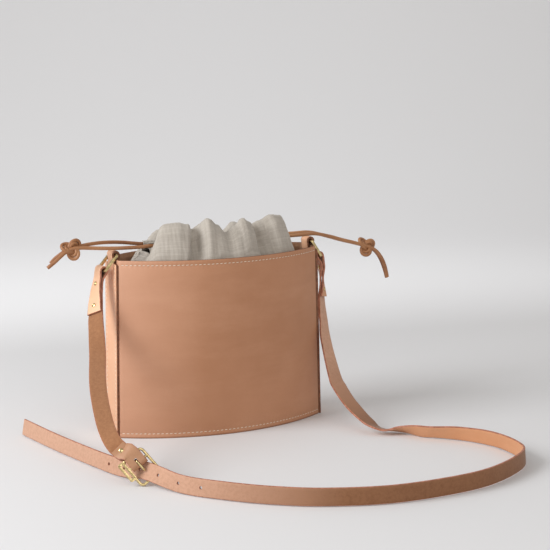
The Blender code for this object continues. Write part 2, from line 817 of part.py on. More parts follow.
def buckle(brass, folder):
    """Make the buckle's frame, with its middle bar and side keeper, and its tongue."""
    length, width, face = buckle_axes()
    place = frame_matrix(buckle_place(), length, width)
    half = BUCKLE_INSIDE / 2
    rear = -BUCKLE_REAR
    front = BUCKLE_FRONT
    bar = BUCKLE_BAR
    outer_half = half + bar
    keeper_out = -(outer_half + KEEPER_INSIDE + bar)
    keeper_rear = rear - bar / 2
    outline = []
    corners = (
        (front + bar / 2, outer_half, BUCKLE_CORNER, 0),
        (rear - bar / 2, outer_half, BUCKLE_CORNER, 1),
        (keeper_rear, keeper_out, BUCKLE_CORNER * 0.8, 2),
        (keeper_rear + KEEPER_LENGTH, keeper_out, BUCKLE_CORNER * 0.8, 3),
    )
    for x, y, corner, quarter in corners:
        sx = 1 if quarter in (0, 3) else -1
        sy = 1 if quarter in (0, 1) else -1
        for i in range(CORNER_STEPS + 1):
            angle = math.pi / 2 * (quarter + i / CORNER_STEPS)
            outline.append(
                (
                    x - sx * corner + corner * math.cos(angle),
                    y - sy * corner + corner * math.sin(angle),
                )
            )
    outline.append((keeper_rear + KEEPER_LENGTH, -outer_half))
    for i in range(CORNER_STEPS + 1):
        angle = math.pi / 2 * (3 + i / CORNER_STEPS)
        outline.append(
            (
                front + bar / 2 - BUCKLE_CORNER + BUCKLE_CORNER * math.cos(angle),
                -outer_half + BUCKLE_CORNER + BUCKLE_CORNER * math.sin(angle),
            )
        )
    front_window = rounded(
        front - bar, 2 * half, BUCKLE_CORNER * 0.5, (front / 2, 0.0)
    )
    rear_window = rounded(-rear - bar, 2 * half, BUCKLE_CORNER * 0.3, (rear / 2, 0.0))
    keeper_window = rounded(
        KEEPER_LENGTH - 2 * bar,
        KEEPER_INSIDE,
        KEEPER_INSIDE * 0.45,
        (keeper_rear + KEEPER_LENGTH / 2, -(outer_half + KEEPER_INSIDE / 2)),
    )
    windows = (outline, front_window, rear_window, keeper_window)
    plate("buckle_frame", windows, BUCKLE_THICKNESS, place, brass, folder)
    tongue(place, brass, folder)


def tongue(place, brass, folder):
    """Make the tongue: an eye round the middle bar and a pin that leans into the window."""
    eye = math.hypot(BUCKLE_BAR, BUCKLE_THICKNESS) / 2 + GAP + TONGUE_RADIUS
    points = []
    for i in range(10):
        angle = math.radians(blend(-55, -270, i / 9))
        points.append((eye * math.cos(angle), 0.0, eye * math.sin(angle)))
    points.append((TONGUE_LENGTH * 0.5, 0.0, eye * 0.95))
    points.append((TONGUE_LENGTH, 0.0, eye * 0.55))
    tube("buckle_tongue", [place @ Vector(p) for p in points], TONGUE_RADIUS, brass, folder)


def tube(name, points, radius, paint, folder):
    """Make a round rod or cord along points."""
    line = bpy.data.curves.new(name, "CURVE")
    line.dimensions = "3D"
    line.bevel_depth = radius
    line.bevel_resolution = 2
    line.use_fill_caps = True
    spline = line.splines.new("POLY")
    spline.points.add(len(points) - 1)
    for point, spot in zip(spline.points, points):
        point.co = (*spot, 1.0)
    body = bpy.data.objects.new(name, line)
    line.materials.append(paint)
    folder.objects.link(body)
    return body


def fold_values(folds, share):
    """Return crest and puff at a share of half the span, eased between the table's rows."""
    for (a, crest_a, puff_a), (b, crest_b, puff_b) in zip(folds, folds[1:]):
        if share <= b:
            t = (share - a) / (b - a)
            t = t * t * (3 - 2 * t)
            return blend(crest_a, crest_b, t), blend(puff_a, puff_b, t)
    return folds[-1][1], folds[-1][2]


def pouch_column(folds, share, facing):
    """Return one upright line of the pouch, from its floor to its casing's inner edge."""
    crest, puff = fold_values(folds, share)
    ends = 1 - min(1.0, (1 - abs(share)) / 0.16)
    points = []
    for share_up in POUCH_ROWS:
        height = share_up * BAG_HEIGHT
        inset = LEATHER + (LEATHER + GAP if height < BASE_RIM else 0.0) + POUCH_MARGIN
        radius, middle = bow(height)
        half = half_width(height) - POUCH_END
        x = share * half
        y = middle - math.sqrt((radius - inset) ** 2 - x * x)
        points.append((x, y, height))
    low = points[-1]
    casing_x = share * POUCH_SPAN / 2
    mouth = MOUTH_WIDTH / 2 + CASING_RADIUS
    casing_z = BAG_HEIGHT + CASING_RISE
    top = BAG_HEIGHT + POUCH_CREST * crest
    for inward, upward in POUCH_HUMP:
        y = blend(low[1] * blend(0.86, 1.0, puff), -mouth - CASING_RADIUS, inward)
        x = blend(low[0], casing_x, min(1.0, inward * 1.35 + 0.1))
        z = blend(BAG_HEIGHT - 0.004, top, upward)
        level = blend(low[2], casing_z - CASING_RADIUS, inward)
        points.append((x, y, blend(z, level, ends)))
    start = blend(180, 236, ends)
    for i in range(8):
        angle = math.radians(blend(start, 476, i / 7))
        y = -mouth + CASING_RADIUS * math.cos(angle)
        points.append((casing_x, y, casing_z + CASING_RADIUS * math.sin(angle)))
    return [(x, y * facing, z) for x, y, z in points]


def pouch(linen, folder):
    """Make the linen pouch: walls inside the leather, puffed top, two casings, open mouth."""
    shares = [math.sin(blend(-1, 1, i / POUCH_STATIONS) * math.pi / 2) for i in range(POUCH_STATIONS + 1)]
    shares = [0.55 * s + 0.45 * blend(-1, 1, i / POUCH_STATIONS) for i, s in enumerate(shares)]
    front = [pouch_column(FRONT_FOLDS, s, 1) for s in shares]
    back = [pouch_column(BACK_FOLDS, s, -1) for s in reversed(shares)]
    columns = front + back
    rows = [list(row) for row in zip(*columns)]
    count = len(columns)
    half = count // 2
    casing_rows = range(8, len(rows) - 1)
    skip = {(i, j) for i in casing_rows for j in (half - 1, count - 1)}
    body = loft("linen_pouch", rows, linen, folder, closed=True, skip=skip)
    floor = bmesh.new()
    floor.from_mesh(body.data)
    floor.verts.ensure_lookup_table()
    for i in range(half - 1):
        corners = (i + 1, i, count - 1 - i, count - 2 - i)
        floor.faces.new([floor.verts[k] for k in corners])
    floor.to_mesh(body.data)
    floor.free()
    thicken(body, LINEN)


def laces(leather, folder):
    """Make both laces and the turns of lace that knot them together on each side."""
    for name, route in (("lace_front", LACE_FRONT), ("lace_back", LACE_BACK)):
        points = smooth([Vector(point) for point in route], 2.6 * LACE_DIAMETER)
        tube(name, points, LACE_DIAMETER / 2, leather, folder)
    for name, (middle, way) in (("lace_knot_left", KNOT_LEFT), ("lace_knot_right", KNOT_RIGHT)):
        place = frame_matrix(Vector(middle), Vector(way), Vector((0.0, 1.0, 0.0)))
        points = []
        steps = round(KNOT_TURNS * ROUND_SIDES)
        for i in range(steps + 1):
            angle = 2 * math.pi * KNOT_TURNS * i / steps
            along = KNOT_PITCH * KNOT_TURNS * (i / steps - 0.5)
            spot = (along, KNOT_RADIUS * math.cos(angle), KNOT_RADIUS * 0.9 * math.sin(angle))
            points.append(place @ Vector(spot))
        tube(name, points, LACE_DIAMETER / 2, leather, folder)


def main():
    """Clear the scene and build the bag."""
    for old in list(bpy.data.objects):
        bpy.data.objects.remove(old)
    folder = bpy.data.collections.new("drawstring_bag")
    cutters = bpy.data.collections.new("cutters")
    bpy.context.scene.collection.children.link(folder)
    bpy.context.scene.collection.children.link(cutters)
    panel_leather = material("panel_leather", (0.46, 0.22, 0.12), 0.5)
    gusset_leather = material("gusset_leather", (0.58, 0.29, 0.15), 0.5)
    strap_leather = material("strap_leather", (0.38, 0.17, 0.085), 0.6)
    lace_leather = material("lace_leather", (0.36, 0.16, 0.07), 0.55)
    linen = material("linen", (0.50, 0.46, 0.39), 0.9)
    brass = material("brass", (0.60, 0.43, 0.17), 0.3, 1.0)
    panels(panel_leather, folder)
    base(panel_leather, folder)
    gusset("gusset_left", LEFT, gusset_leather, folder)
    gusset("gusset_right", RIGHT, gusset_leather, folder)
    ring("ring_left", LEFT, RING_LEAN_LEFT, brass, folder)
    ring("ring_right", RIGHT, RING_LEAN_RIGHT, brass, folder)
    pouch(linen, folder)
    laces(lace_leather, folder)
    short_strap(strap_leather, brass, folder, cutters)
    long_strap(strap_leather, brass, folder, cutters)
    buckle(brass, folder)


main()
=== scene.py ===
"""The finished look of a leather drawstring crossbody bag on a pale studio floor.

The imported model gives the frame. Each class below builds and dresses one sub-assembly of the
bag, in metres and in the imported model's own frame: +Z up, the front panel towards -Y.
"""
from __future__ import annotations

import logging
import math
from collections.abc import Callable, Iterable, Iterator, Sequence
from contextlib import contextmanager
from dataclasses import dataclass, field
from enum import Enum, IntEnum

import bmesh
import bpy
from mathutils import Matrix, Vector, noise

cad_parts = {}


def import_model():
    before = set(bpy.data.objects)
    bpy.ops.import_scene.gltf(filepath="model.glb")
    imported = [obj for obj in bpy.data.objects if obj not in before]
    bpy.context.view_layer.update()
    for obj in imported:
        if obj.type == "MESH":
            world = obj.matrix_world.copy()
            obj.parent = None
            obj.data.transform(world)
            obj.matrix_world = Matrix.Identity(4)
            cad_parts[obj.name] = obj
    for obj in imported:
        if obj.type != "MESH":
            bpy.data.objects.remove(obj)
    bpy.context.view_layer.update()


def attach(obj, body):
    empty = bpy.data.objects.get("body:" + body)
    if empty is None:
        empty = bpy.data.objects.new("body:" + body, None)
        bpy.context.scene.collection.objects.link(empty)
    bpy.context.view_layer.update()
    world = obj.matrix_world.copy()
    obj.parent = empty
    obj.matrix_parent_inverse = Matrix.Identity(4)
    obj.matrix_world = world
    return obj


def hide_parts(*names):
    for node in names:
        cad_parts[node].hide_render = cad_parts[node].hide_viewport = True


log = logging.getLogger("crossbody_bag")

BODY = "root"
Point = tuple[float, float, float]
Row = tuple[float, ...]
Spot = tuple[Vector, Vector]
Station = tuple[Vector, Vector, Vector, float]
Piece = bpy.types.Object
Socket = bpy.types.NodeSocket
Material = bpy.types.Material


class Side(IntEnum):
    """The two sides of a mirrored pair."""

    LEFT = -1
    RIGHT = 1


class Layer(IntEnum):
    """Which face of a strap its folded end lies on."""

    BACK = -1
    FRONT = 1


class Slot(Enum):
    """The record's material slots."""

    PANEL = "panel_leather"
    GUSSET = "gusset_leather"
    STRAP = "strap_leather"
    LACE = "lace_leather"
    LINEN = "linen"
    BRASS = "brass"


class Skin(IntEnum):
    """Material indices of a leather piece."""

    GRAIN = 0
    FLESH = 1
    EDGE = 2
    # a darker copy of the grain: painted shade
    RUBBED = 3


def blend(low: float, high: float, share: float) -> float:
    """Return the value at a share of the way from low to high."""
    return low + (high - low) * share


def ease(share: float) -> float:
    """Return a share, limited to 0 and 1, with a smooth start and end."""
    share = min(max(share, 0.0), 1.0)
    return share * share * (3 - 2 * share)


# Finishes


class Nodes:
    """A new material's node tree, with short ways to add and join nodes."""

    def __init__(self, name: str) -> None:
        """Make the material.

        Args:
            name: The material's name.
        """
        self.material = bpy.data.materials.new(name)
        self.material.use_nodes = True
        self.tree = self.material.node_tree
        self.shader = self.tree.nodes["Principled BSDF"]

    def add(self, kind: str, **settings: object) -> bpy.types.Node:
        """Add a node.

        Args:
            kind: The node's type name without its ShaderNode prefix.
            **settings: Values for its properties.

        Returns:
            The new node.
        """
        node = self.tree.nodes.new("ShaderNode" + kind)
        for key, value in settings.items():
            setattr(node, key, value)
        return node

    def feed(self, target: Socket, source: object) -> None:
        """Join a socket to a target, or set the target's own value.

        Args:
            target: The input.
            source: A socket, or a plain value.
        """
        if isinstance(source, Socket):
            self.tree.links.new(source, target)
        else:
            target.default_value = source

    def pattern(self, kind: str, output: str, **inputs: object) -> Socket:
        """Add a node, feed its inputs and return an output.

        Args:
            kind: The node's type name without its ShaderNode prefix.
            output: The output's name.
            **inputs: Values or sockets, named with underscores for spaces.

        Returns:
            The output socket.
        """
        node = self.add(kind)
        for key, value in inputs.items():
            self.feed(node.inputs[key.replace("_", " ")], value)
        return node.outputs[output]

    def place(self, stretch: Point = (1.0, 1.0, 1.0), surface: bool = False) -> Socket:
        """Return coordinates for a pattern, on the piece's own surface or by its place."""
        where = self.add("TexCoord").outputs["UV" if surface else "Object"]
        return self.pattern("Mapping", "Vector", Vector=where, Scale=stretch)

    def axis(self, where: Socket, name: str) -> Socket:
        """Return the X, Y or Z of coordinates."""
        return self.pattern("SeparateXYZ", name, Vector=where)

    def noise(self, where: Socket, scale: float, detail: float = 3.0, rough: float = 0.55) -> Socket:
        """Return the value of a noise pattern, with its scale in waves to a metre."""
        return self.pattern("TexNoise", "Fac", Vector=where, Scale=scale, Detail=detail, Roughness=rough)

    def cells(self, where: Socket, scale: float) -> Socket:
        """Return the distance value of a cell pattern."""
        return self.pattern("TexVoronoi", "Distance", Vector=where, Scale=scale)

    def span(self, value: Socket, low: float, high: float, first: float = 0.0, last: float = 1.0) -> Socket:
        """Return a value stretched from one range to another, and limited to it."""
        limits = {"From_Min": low, "From_Max": high, "To_Min": first, "To_Max": last}
        return self.pattern("MapRange", "Result", Value=value, **limits)

    def mix(self, share: object, first: object, second: object, way: str = "MIX") -> Socket:
        """Return a mix of two colours.

        Args:
            share: How much of the second there is, as a number or a socket.
            first: The first colour, or its socket.
            second: The second colour, or its socket.
            way: The blending mode.

        Returns:
            The colour socket.
        """
        node = self.add("Mix", data_type="RGBA", blend_type=way)
        self.feed(node.inputs[0], share)
        self.feed(node.inputs[6], first)
        self.feed(node.inputs[7], second)
        return node.outputs[2]

    def sum(self, first: object, second: object, way: str = "ADD") -> Socket:
        """Return two values joined by a math operation.

        Args:
            first: The first value or socket.
            second: The second value or socket.
            way: The operation.

        Returns:
            The value socket.
        """
        node = self.add("Math", operation=way)
        self.feed(node.inputs[0], first)
        self.feed(node.inputs[1], second)
        return node.outputs["Value"]

    def bump(self, height: Socket, strength: float, depth: float, under: Socket | None = None) -> Socket:
        """Return a normal with relief of a real depth, over a normal that already has relief."""
        below = {} if under is None else {"Normal": under}
        return self.pattern("Bump", "Normal", Height=height, Strength=strength, Distance=depth, **below)

    def set(self, **values: object) -> None:
        """Set or join the shader's inputs, named with underscores for spaces."""
        for key, value in values.items():
            self.feed(self.shader.inputs[key.replace("_", " ")], value)


def tint(colour: Point) -> tuple[float, float, float, float]:
    """Return a colour with full alpha."""
    return (*colour, 1.0)


@dataclass(frozen=True)
class GrainLeather:
    """Smooth vegetable-tanned leather, seen on its grain side."""

    name: str
    colour: Point
    pale: Point
    dark: Point
    rough: float = 0.52
    # how strongly the left end is tinted with a painted window sheen
    sheen_share: float = 0.0
    seams: tuple[float, ...] = ()
    pitch: float = 0.0047
    # the pale pink tint of that painted sheen
    sheen_tint: Point = (0.70, 0.40, 0.28)
    foot: Point = (0.22, 0.085, 0.04)

    def make(self) -> Material:
        """Make the material, with cloudy tone, faint growth marks and fine pores.

        Returns:
            The material.
        """
        n = Nodes(self.name)
        where = n.place()
        cloud = n.noise(where, 13.0, 4.0)
        colour = n.mix(n.span(cloud, 0.35, 0.68), tint(self.dark), tint(self.colour))
        streak = n.noise(n.place((9.0, 9.0, 38.0)), 1.0, 5.0, 0.6)
        colour = n.mix(n.span(streak, 0.48, 0.75, 0.0, 0.45), colour, tint(self.pale))
        fine = n.noise(where, 420.0, 5.0, 0.7)
        colour = n.mix(n.span(fine, 0.42, 0.62, 0.0, 0.22), colour, tint(self.dark))
        # Painted sheen: towards the left end, which faces the window, the colour is mixed towards a pale pink
        # as a painted highlight.
        if self.sheen_share:
            lit = n.span(n.axis(where, "X"), -0.125, -0.035, self.sheen_share, 0.0)
            colour = n.mix(lit, colour, tint(self.sheen_tint))
        if self.seams:
            foot = n.span(n.axis(where, "Z"), 0.0004, 0.0022, 0.75, 0.0)
            colour = n.mix(foot, colour, tint(self.foot))
        pores = n.span(n.cells(where, 1250.0), 0.05, 0.45)
        relief = n.bump(pores, 0.16, 0.0002)
        relief = n.bump(n.noise(where, 190.0, 4.0), 0.10, 0.0006, relief)
        relief = n.bump(n.noise(where, 22.0, 2.0), 0.10, 0.004, relief)
        for seam in self.seams:
            gap = n.sum(n.sum(n.axis(where, "Z"), seam, "SUBTRACT"), 0.0, "ABSOLUTE")
            near = n.span(gap, 0.0006, 0.0042, 1.0, 0.0)
            turn = n.sum(n.axis(where, "X"), 2 * math.pi / self.pitch, "MULTIPLY")
            pucker = n.sum(n.sum(turn, 0.0, "SINE"), near, "MULTIPLY")
            relief = n.bump(pucker, 0.30, 0.0004, relief)
        n.set(
            Base_Color=colour,
            Roughness=n.span(n.noise(where, 60.0, 4.0), 0.3, 0.7, self.rough - 0.06, self.rough + 0.1),
            Normal=relief,
            Specular_IOR_Level=0.42,
            Sheen_Weight=0.05,
            Sheen_Roughness=0.4,
        )
        return n.material


@dataclass(frozen=True)
class FleshLeather:
    """The fibrous inner side of the same leather, mottled and matte."""

    name: str
    colour: Point
    dark: Point
    # pale tint of a painted sheen, if the piece has one
    pale_sheen: Point | None = None

    def make(self) -> Material:
        """Make the material, with fibres, darker specks and a soft nap.

        Returns:
            The material.
        """
        n = Nodes(self.name)
        where = n.place()
        fibre = n.noise(where, 330.0, 6.0, 0.75)
        colour = n.mix(n.span(fibre, 0.30, 0.66), tint(self.dark), tint(self.colour))
        blotch = n.noise(where, 75.0, 4.0, 0.6)
        colour = n.mix(n.span(blotch, 0.46, 0.78, 0.0, 0.35), colour, tint(self.dark))
        # Painted sheen: the tip end and the part that hangs above the floor are mixed towards a pale pink,
        # light painted into the colour; then the fibre specks are laid over again.
        if self.pale_sheen is not None:
            end = n.span(n.axis(where, "X"), -0.14, -0.02, 0.75, 0.0)
            colour = n.mix(end, colour, tint(self.pale_sheen))
            hung = n.span(n.axis(where, "Z"), 0.015, 0.07, 0.0, 0.85)
            colour = n.mix(hung, colour, tint(self.pale_sheen))
            colour = n.mix(n.span(fibre, 0.42, 0.62, 0.0, 0.25), colour, tint(self.dark))
        relief = n.bump(fibre, 0.22, 0.0005)
        relief = n.bump(n.noise(where, 1400.0, 3.0), 0.25, 0.0002, relief)
        n.set(
            Base_Color=colour,
            Roughness=0.82,
            Normal=relief,
            Specular_IOR_Level=0.25,
            Sheen_Weight=0.18,
            Sheen_Roughness=0.5,
        )
        return n.material


@dataclass(frozen=True)
class CutEdge:
    """A cut and burnished leather edge."""

    name: str
    colour: Point
    dark: Point

    def make(self) -> Material:
        """Make the material, darker and smoother where it is rubbed.

        Returns:
            The material.
        """
        n = Nodes(self.name)
        where = n.place()
        tone = n.span(n.noise(where, 240.0, 5.0, 0.65), 0.4, 0.62)
        n.set(
            Base_Color=n.mix(tone, tint(self.dark), tint(self.colour)),
            Roughness=n.span(n.noise(where, 160.0, 3.0), 0.3, 0.7, 0.42, 0.62),
            Normal=n.bump(n.noise(where, 700.0, 4.0), 0.3, 0.0003),
            Specular_IOR_Level=0.4,
        )
        return n.material


@dataclass(frozen=True)
class SlubLinen:
    """Natural linen with uneven threads."""

    name: str = "natural_linen"
    thread: float = 0.00058
    colour: Point = (0.45, 0.408, 0.36)
    pale: Point = (0.585, 0.54, 0.485)
    dark: Point = (0.325, 0.287, 0.24)

    def make(self) -> Material:
        """Make the material, woven on the cloth's own two directions.

        Returns:
            The material.
        """
        n = Nodes(self.name)
        count = 1.0 / self.thread
        warp = n.place((count, 22.0, 1.0), surface=True)
        weft = n.place((22.0, count, 1.0), surface=True)
        slub_up = n.noise(warp, 0.55, 4.0, 0.7)
        slub_over = n.noise(weft, 0.42, 4.0, 0.7)
        colour = n.mix(n.span(slub_up, 0.30, 0.66, 0.25, 1.0), tint(self.dark), tint(self.colour))
        colour = n.mix(n.span(slub_over, 0.42, 0.70, 0.0, 0.55), colour, tint(self.pale))
        flecks = n.noise(n.place((240.0, 60.0, 1.0), surface=True), 1.0, 4.0, 0.7)
        colour = n.mix(n.span(flecks, 0.56, 0.74, 0.0, 0.5), colour, tint(self.dark))
        waves = []
        for direction, where in (("X", warp), ("Y", weft)):
            wave = n.add("TexWave", wave_type="BANDS", bands_direction=direction, wave_profile="SIN")
            n.feed(wave.inputs["Vector"], where)
            wave.inputs["Scale"].default_value = 0.314
            wave.inputs["Distortion"].default_value = 0.6
            waves.append(wave.outputs["Fac"])
        weave = n.sum(waves[0], waves[1])
        relief = n.bump(weave, 0.22, 0.0003)
        relief = n.bump(n.sum(slub_up, slub_over), 0.25, 0.0004, relief)
        n.set(
            Base_Color=colour,
            Roughness=0.9,
            Normal=relief,
            Specular_IOR_Level=0.15,
            Sheen_Weight=0.22,
            Sheen_Roughness=0.6,
        )
        return n.material


@dataclass(frozen=True)
class Brass:
    """Polished brass with a little handling wear."""

    name: str = "polished_brass"
    colour: Point = (0.76, 0.61, 0.32)
    dull: Point = (0.36, 0.26, 0.11)

    def make(self) -> Material:
        """Make the material, with faint tarnish and hair scratches.

        Returns:
            The material.
        """
        n = Nodes(self.name)
        where = n.place()
        tarnish = n.span(n.noise(where, 260.0, 5.0, 0.65), 0.40, 0.70, 0.0, 0.8)
        scratch = n.noise(n.place((2600.0, 240.0, 2600.0)), 1.0, 2.0)
        n.set(
            Base_Color=n.mix(tarnish, tint(self.colour), tint(self.dull)),
            Metallic=1.0,
            Roughness=n.span(n.noise(where, 420.0, 4.0), 0.3, 0.75, 0.16, 0.36),
            Normal=n.bump(scratch, 0.08, 0.0001),
        )
        return n.material


@dataclass(frozen=True)
class Thread:
    """Waxed off-white sewing thread."""

    name: str = "waxed_thread"
    colour: Point = (0.80, 0.72, 0.60)
    shade: Point = (0.55, 0.46, 0.36)

    def make(self) -> Material:
        """Make the material, with its twist.

        Returns:
            The material.
        """
        n = Nodes(self.name)
        where = n.place((2400.0, 2400.0, 2400.0))
        twist = n.noise(where, 1.0, 2.0)
        n.set(
            Base_Color=n.mix(n.span(twist, 0.3, 0.7, 0.0, 0.4), tint(self.colour), tint(self.shade)),
            Roughness=0.6,
            Normal=n.bump(twist, 0.4, 0.0002),
            Specular_IOR_Level=0.3,
        )
        return n.material


@dataclass(frozen=True)
class StudioPaper:
    """Plain pale paper for the floor and its upturned back."""

    name: str = "studio_paper"
    colour: Point = (0.75, 0.75, 0.765)
    cloud: Point = (0.69, 0.69, 0.71)

    def make(self) -> Material:
        """Make the material.

        Returns:
            The material.
        """
        n = Nodes(self.name)
        where = n.place()
        soft = n.span(n.noise(where, 1.4, 2.0), 0.3, 0.7, 0.0, 0.06)
        n.set(
            Base_Color=n.mix(soft, tint(self.colour), tint(self.cloud)),
            Roughness=0.7,
            Specular_IOR_Level=0.2,
        )
        return n.material


@dataclass
class Finishes:
    """All the bag's finishes, made once."""

    panel: list[Material] = field(default_factory=list)
    gusset: list[Material] = field(default_factory=list)
    strap: list[Material] = field(default_factory=list)
    long_strap: list[Material] = field(default_factory=list)
    lace: Material | None = None
    linen: Material | None = None
    brass: Material | None = None
    thread: Material | None = None

    def make(self) -> None:
        """Make every material."""
        flesh = FleshLeather("body_flesh_side", (0.44, 0.25, 0.15), (0.28, 0.14, 0.075)).make()
        edge = CutEdge("burnished_edge", (0.25, 0.095, 0.045), (0.14, 0.05, 0.024)).make()
        # The panels' leather carries a painted window sheen towards its left end.
        panel = GrainLeather(
            "panel_grain", (0.49, 0.239, 0.131), (0.56, 0.294, 0.175), (0.43, 0.20, 0.102), 0.50, 0.45,
            seams=(0.0052, 0.1901),
        )
        # The gussets' grain is painted paler than the panels' leather: a painted sheen where they face the
        # window.
        gusset = GrainLeather("gusset_grain", (0.75, 0.43, 0.265), (0.81, 0.49, 0.32), (0.67, 0.36, 0.21))
        strap = GrainLeather("strap_grain", (0.67, 0.335, 0.175), (0.74, 0.41, 0.235), (0.56, 0.26, 0.125))
        # The short strap's grain is painted paler still, a painted sheen where it faces the window.
        tab = GrainLeather("short_strap_grain", (0.82, 0.50, 0.32), (0.86, 0.56, 0.37), (0.74, 0.41, 0.24))
        strap_flesh = FleshLeather("strap_flesh_side", (0.37, 0.172, 0.080), (0.27, 0.118, 0.052))
        # The long strap's flesh side carries a pale painted sheen at its tip end and where it hangs.
        long_flesh = FleshLeather(
            "long_strap_flesh_side", (0.305, 0.145, 0.070), (0.20, 0.083, 0.036), (0.66, 0.39, 0.27)
        )
        strap_edge = CutEdge("strap_edge", (0.50, 0.21, 0.135), (0.30, 0.11, 0.06)).make()
        self.panel = [panel.make(), flesh, edge]
        self.gusset = [gusset.make(), flesh, edge]
        # A darker copy of the short strap's grain for its lower half: painted shade.
        shaded_grain = GrainLeather(
            "short_strap_shaded_grain", (0.46, 0.245, 0.135), (0.52, 0.29, 0.17), (0.35, 0.165, 0.08)
        )
        self.strap = [tab.make(), strap_flesh.make(), strap_edge, shaded_grain.make()]
        self.long_strap = [strap.make(), long_flesh.make(), strap_edge]
        lace = GrainLeather(
            "lace_leather", (0.46, 0.225, 0.10), (0.62, 0.34, 0.175), (0.24, 0.09, 0.035), 0.42
        )
        self.lace = lace.make()
        self.linen = SlubLinen().make()
        self.brass = Brass().make()
        self.thread = Thread().make()


# Ways of working


def clear_selection() -> None:
    """Deselect everything and leave edit mode."""
    if bpy.context.mode != "OBJECT":
        bpy.ops.object.mode_set(mode="OBJECT")
    bpy.ops.object.select_all(action="DESELECT")


def pick(piece: Piece) -> None:
    """Make a piece the only selected and the active object.

    Args:
        piece: The piece.
    """
    clear_selection()
    piece.select_set(True)
    bpy.context.view_layer.objects.active = piece


def choose(piece: Piece, wanted: Callable[[Vector], bool]) -> None:
    """Select, in edit mode, the points that a test wants, and what lies between them.

    Args:
        piece: The piece.
        wanted: The test of a point's place.
    """
    bpy.ops.mesh.select_all(action="DESELECT")
    work = bmesh.from_edit_mesh(piece.data)
    for vert in work.verts:
        vert.select = wanted(vert.co)
    work.select_flush_mode()
    for edge in work.edges:
        edge.select = all(vert.select for vert in edge.verts) or edge.select
    bmesh.update_edit_mesh(piece.data)


@contextmanager
def editing(piece: Piece) -> Iterator[None]:
    """Work on a piece in edit mode, with all of it selected at first.

    Args:
        piece: The piece.

    Yields:
        Nothing.
    """
    pick(piece)
    bpy.ops.object.mode_set(mode="EDIT")
    bpy.ops.mesh.select_all(action="SELECT")
    yield
    bpy.ops.object.mode_set(mode="OBJECT")


@contextmanager
def reworked(piece: Piece) -> Iterator[bmesh.types.BMesh]:
    """Open a piece's mesh for changes, then turn its faces outwards and write it back.

    Args:
        piece: The piece.

    Yields:
        The open mesh.
    """
    work = bmesh.new()
    work.from_mesh(piece.data)
    work.verts.ensure_lookup_table()
    yield work
    bmesh.ops.recalc_face_normals(work, faces=work.faces)
    work.to_mesh(piece.data)
    work.free()


def floor_over(work: bmesh.types.BMesh, count: int) -> None:
    """Close the first ring of a loft with a strip of faces from its front half to its back half.

    Args:
        work: The open mesh.
        count: How many points the ring has.
    """
    for i in range(count // 2 - 1):
        work.faces.new([work.verts[k] for k in (i + 1, i, count - 1 - i, count - 2 - i)])


def settle(piece: Piece, place: Matrix | None = None) -> Piece:
    """Put a piece in its place and write that place into its mesh.

    Args:
        piece: The piece.
        place: Its place, if it isn't there already.

    Returns:
        The piece.
    """
    pick(piece)
    if place is not None:
        piece.matrix_world = place
    bpy.ops.object.transform_apply(location=True, rotation=True, scale=True)
    return piece


def link(name: str, data: bpy.types.ID) -> Piece:
    """Put new data in the scene.

    Args:
        name: The new object's name.
        data: Its mesh, curve, camera or light.

    Returns:
        The new object.
    """
    piece = bpy.data.objects.new(name, data)
    bpy.context.scene.collection.objects.link(piece)
    return piece


def first_edge(start: Vector, end: Vector, cuts: int) -> Piece:
    """Make one cut-up edge out of a plane, for a spin or an extrusion to start from.

    Args:
        start: The edge's start.
        end: Its end.
        cuts: How often it is cut.

    Returns:
        The edge.
    """
    clear_selection()
    bpy.ops.mesh.primitive_plane_add(size=1)
    piece = bpy.context.object
    with editing(piece):
        work = bmesh.from_edit_mesh(piece.data)
        bmesh.ops.delete(work, geom=[v for v in work.verts if v.co.x > 0], context="VERTS")
        for vert, spot in zip(work.verts, (start, end)):
            vert.co = spot
        bmesh.update_edit_mesh(piece.data)
        bpy.ops.mesh.select_all(action="SELECT")
        bpy.ops.mesh.subdivide(number_cuts=cuts)
    return piece


def drum(radius: float, depth: float, sides: int, place: Matrix | None = None) -> Piece:
    """Make a cylinder.

    Args:
        radius: Its radius.
        depth: Its length, along Z before it is placed.
        sides: How many sides it has.
        place: Its place.

    Returns:
        The cylinder.
    """
    clear_selection()
    bpy.ops.mesh.primitive_cylinder_add(vertices=sides, radius=radius, depth=depth)
    return settle(bpy.context.object, place)


def apply_all(piece: Piece) -> None:
    """Apply a piece's modifiers in their order.

    Args:
        piece: The piece.
    """
    pick(piece)
    for modifier in list(piece.modifiers):
        bpy.ops.object.modifier_apply(modifier=modifier.name)


def thicken(piece: Piece, thickness: float, even: bool = True) -> None:
    """Give a sheet its wall, half of it to each side.

    Args:
        piece: The sheet.
        thickness: The wall's thickness.
        even: Whether the wall keeps its thickness over bends.
    """
    wall = piece.modifiers.new("wall", "SOLIDIFY")
    wall.thickness = thickness
    wall.offset = 0.0
    wall.use_even_offset = even
    apply_all(piece)


def soften(piece: Piece, width: float, segments: int = 3, angle: float = 40.0) -> None:
    """Round a piece's sharp edges and shade it smooth.

    Args:
        piece: The piece.
        width: The rounding's width.
        segments: Its number of segments.
        angle: The least angle, in degrees, of an edge that is rounded.
    """
    rounding = piece.modifiers.new("rounding", "BEVEL")
    rounding.width = width
    rounding.segments = segments
    rounding.limit_method = "ANGLE"
    rounding.angle_limit = math.radians(angle)
    rounding.harden_normals = False
    apply_all(piece)
    smooth_shade(piece, angle)


def smooth_shade(piece: Piece, angle: float = 40.0) -> None:
    """Shade a piece smooth except over sharp edges."""
    pick(piece)
    bpy.ops.object.shade_smooth_by_angle(angle=math.radians(angle))


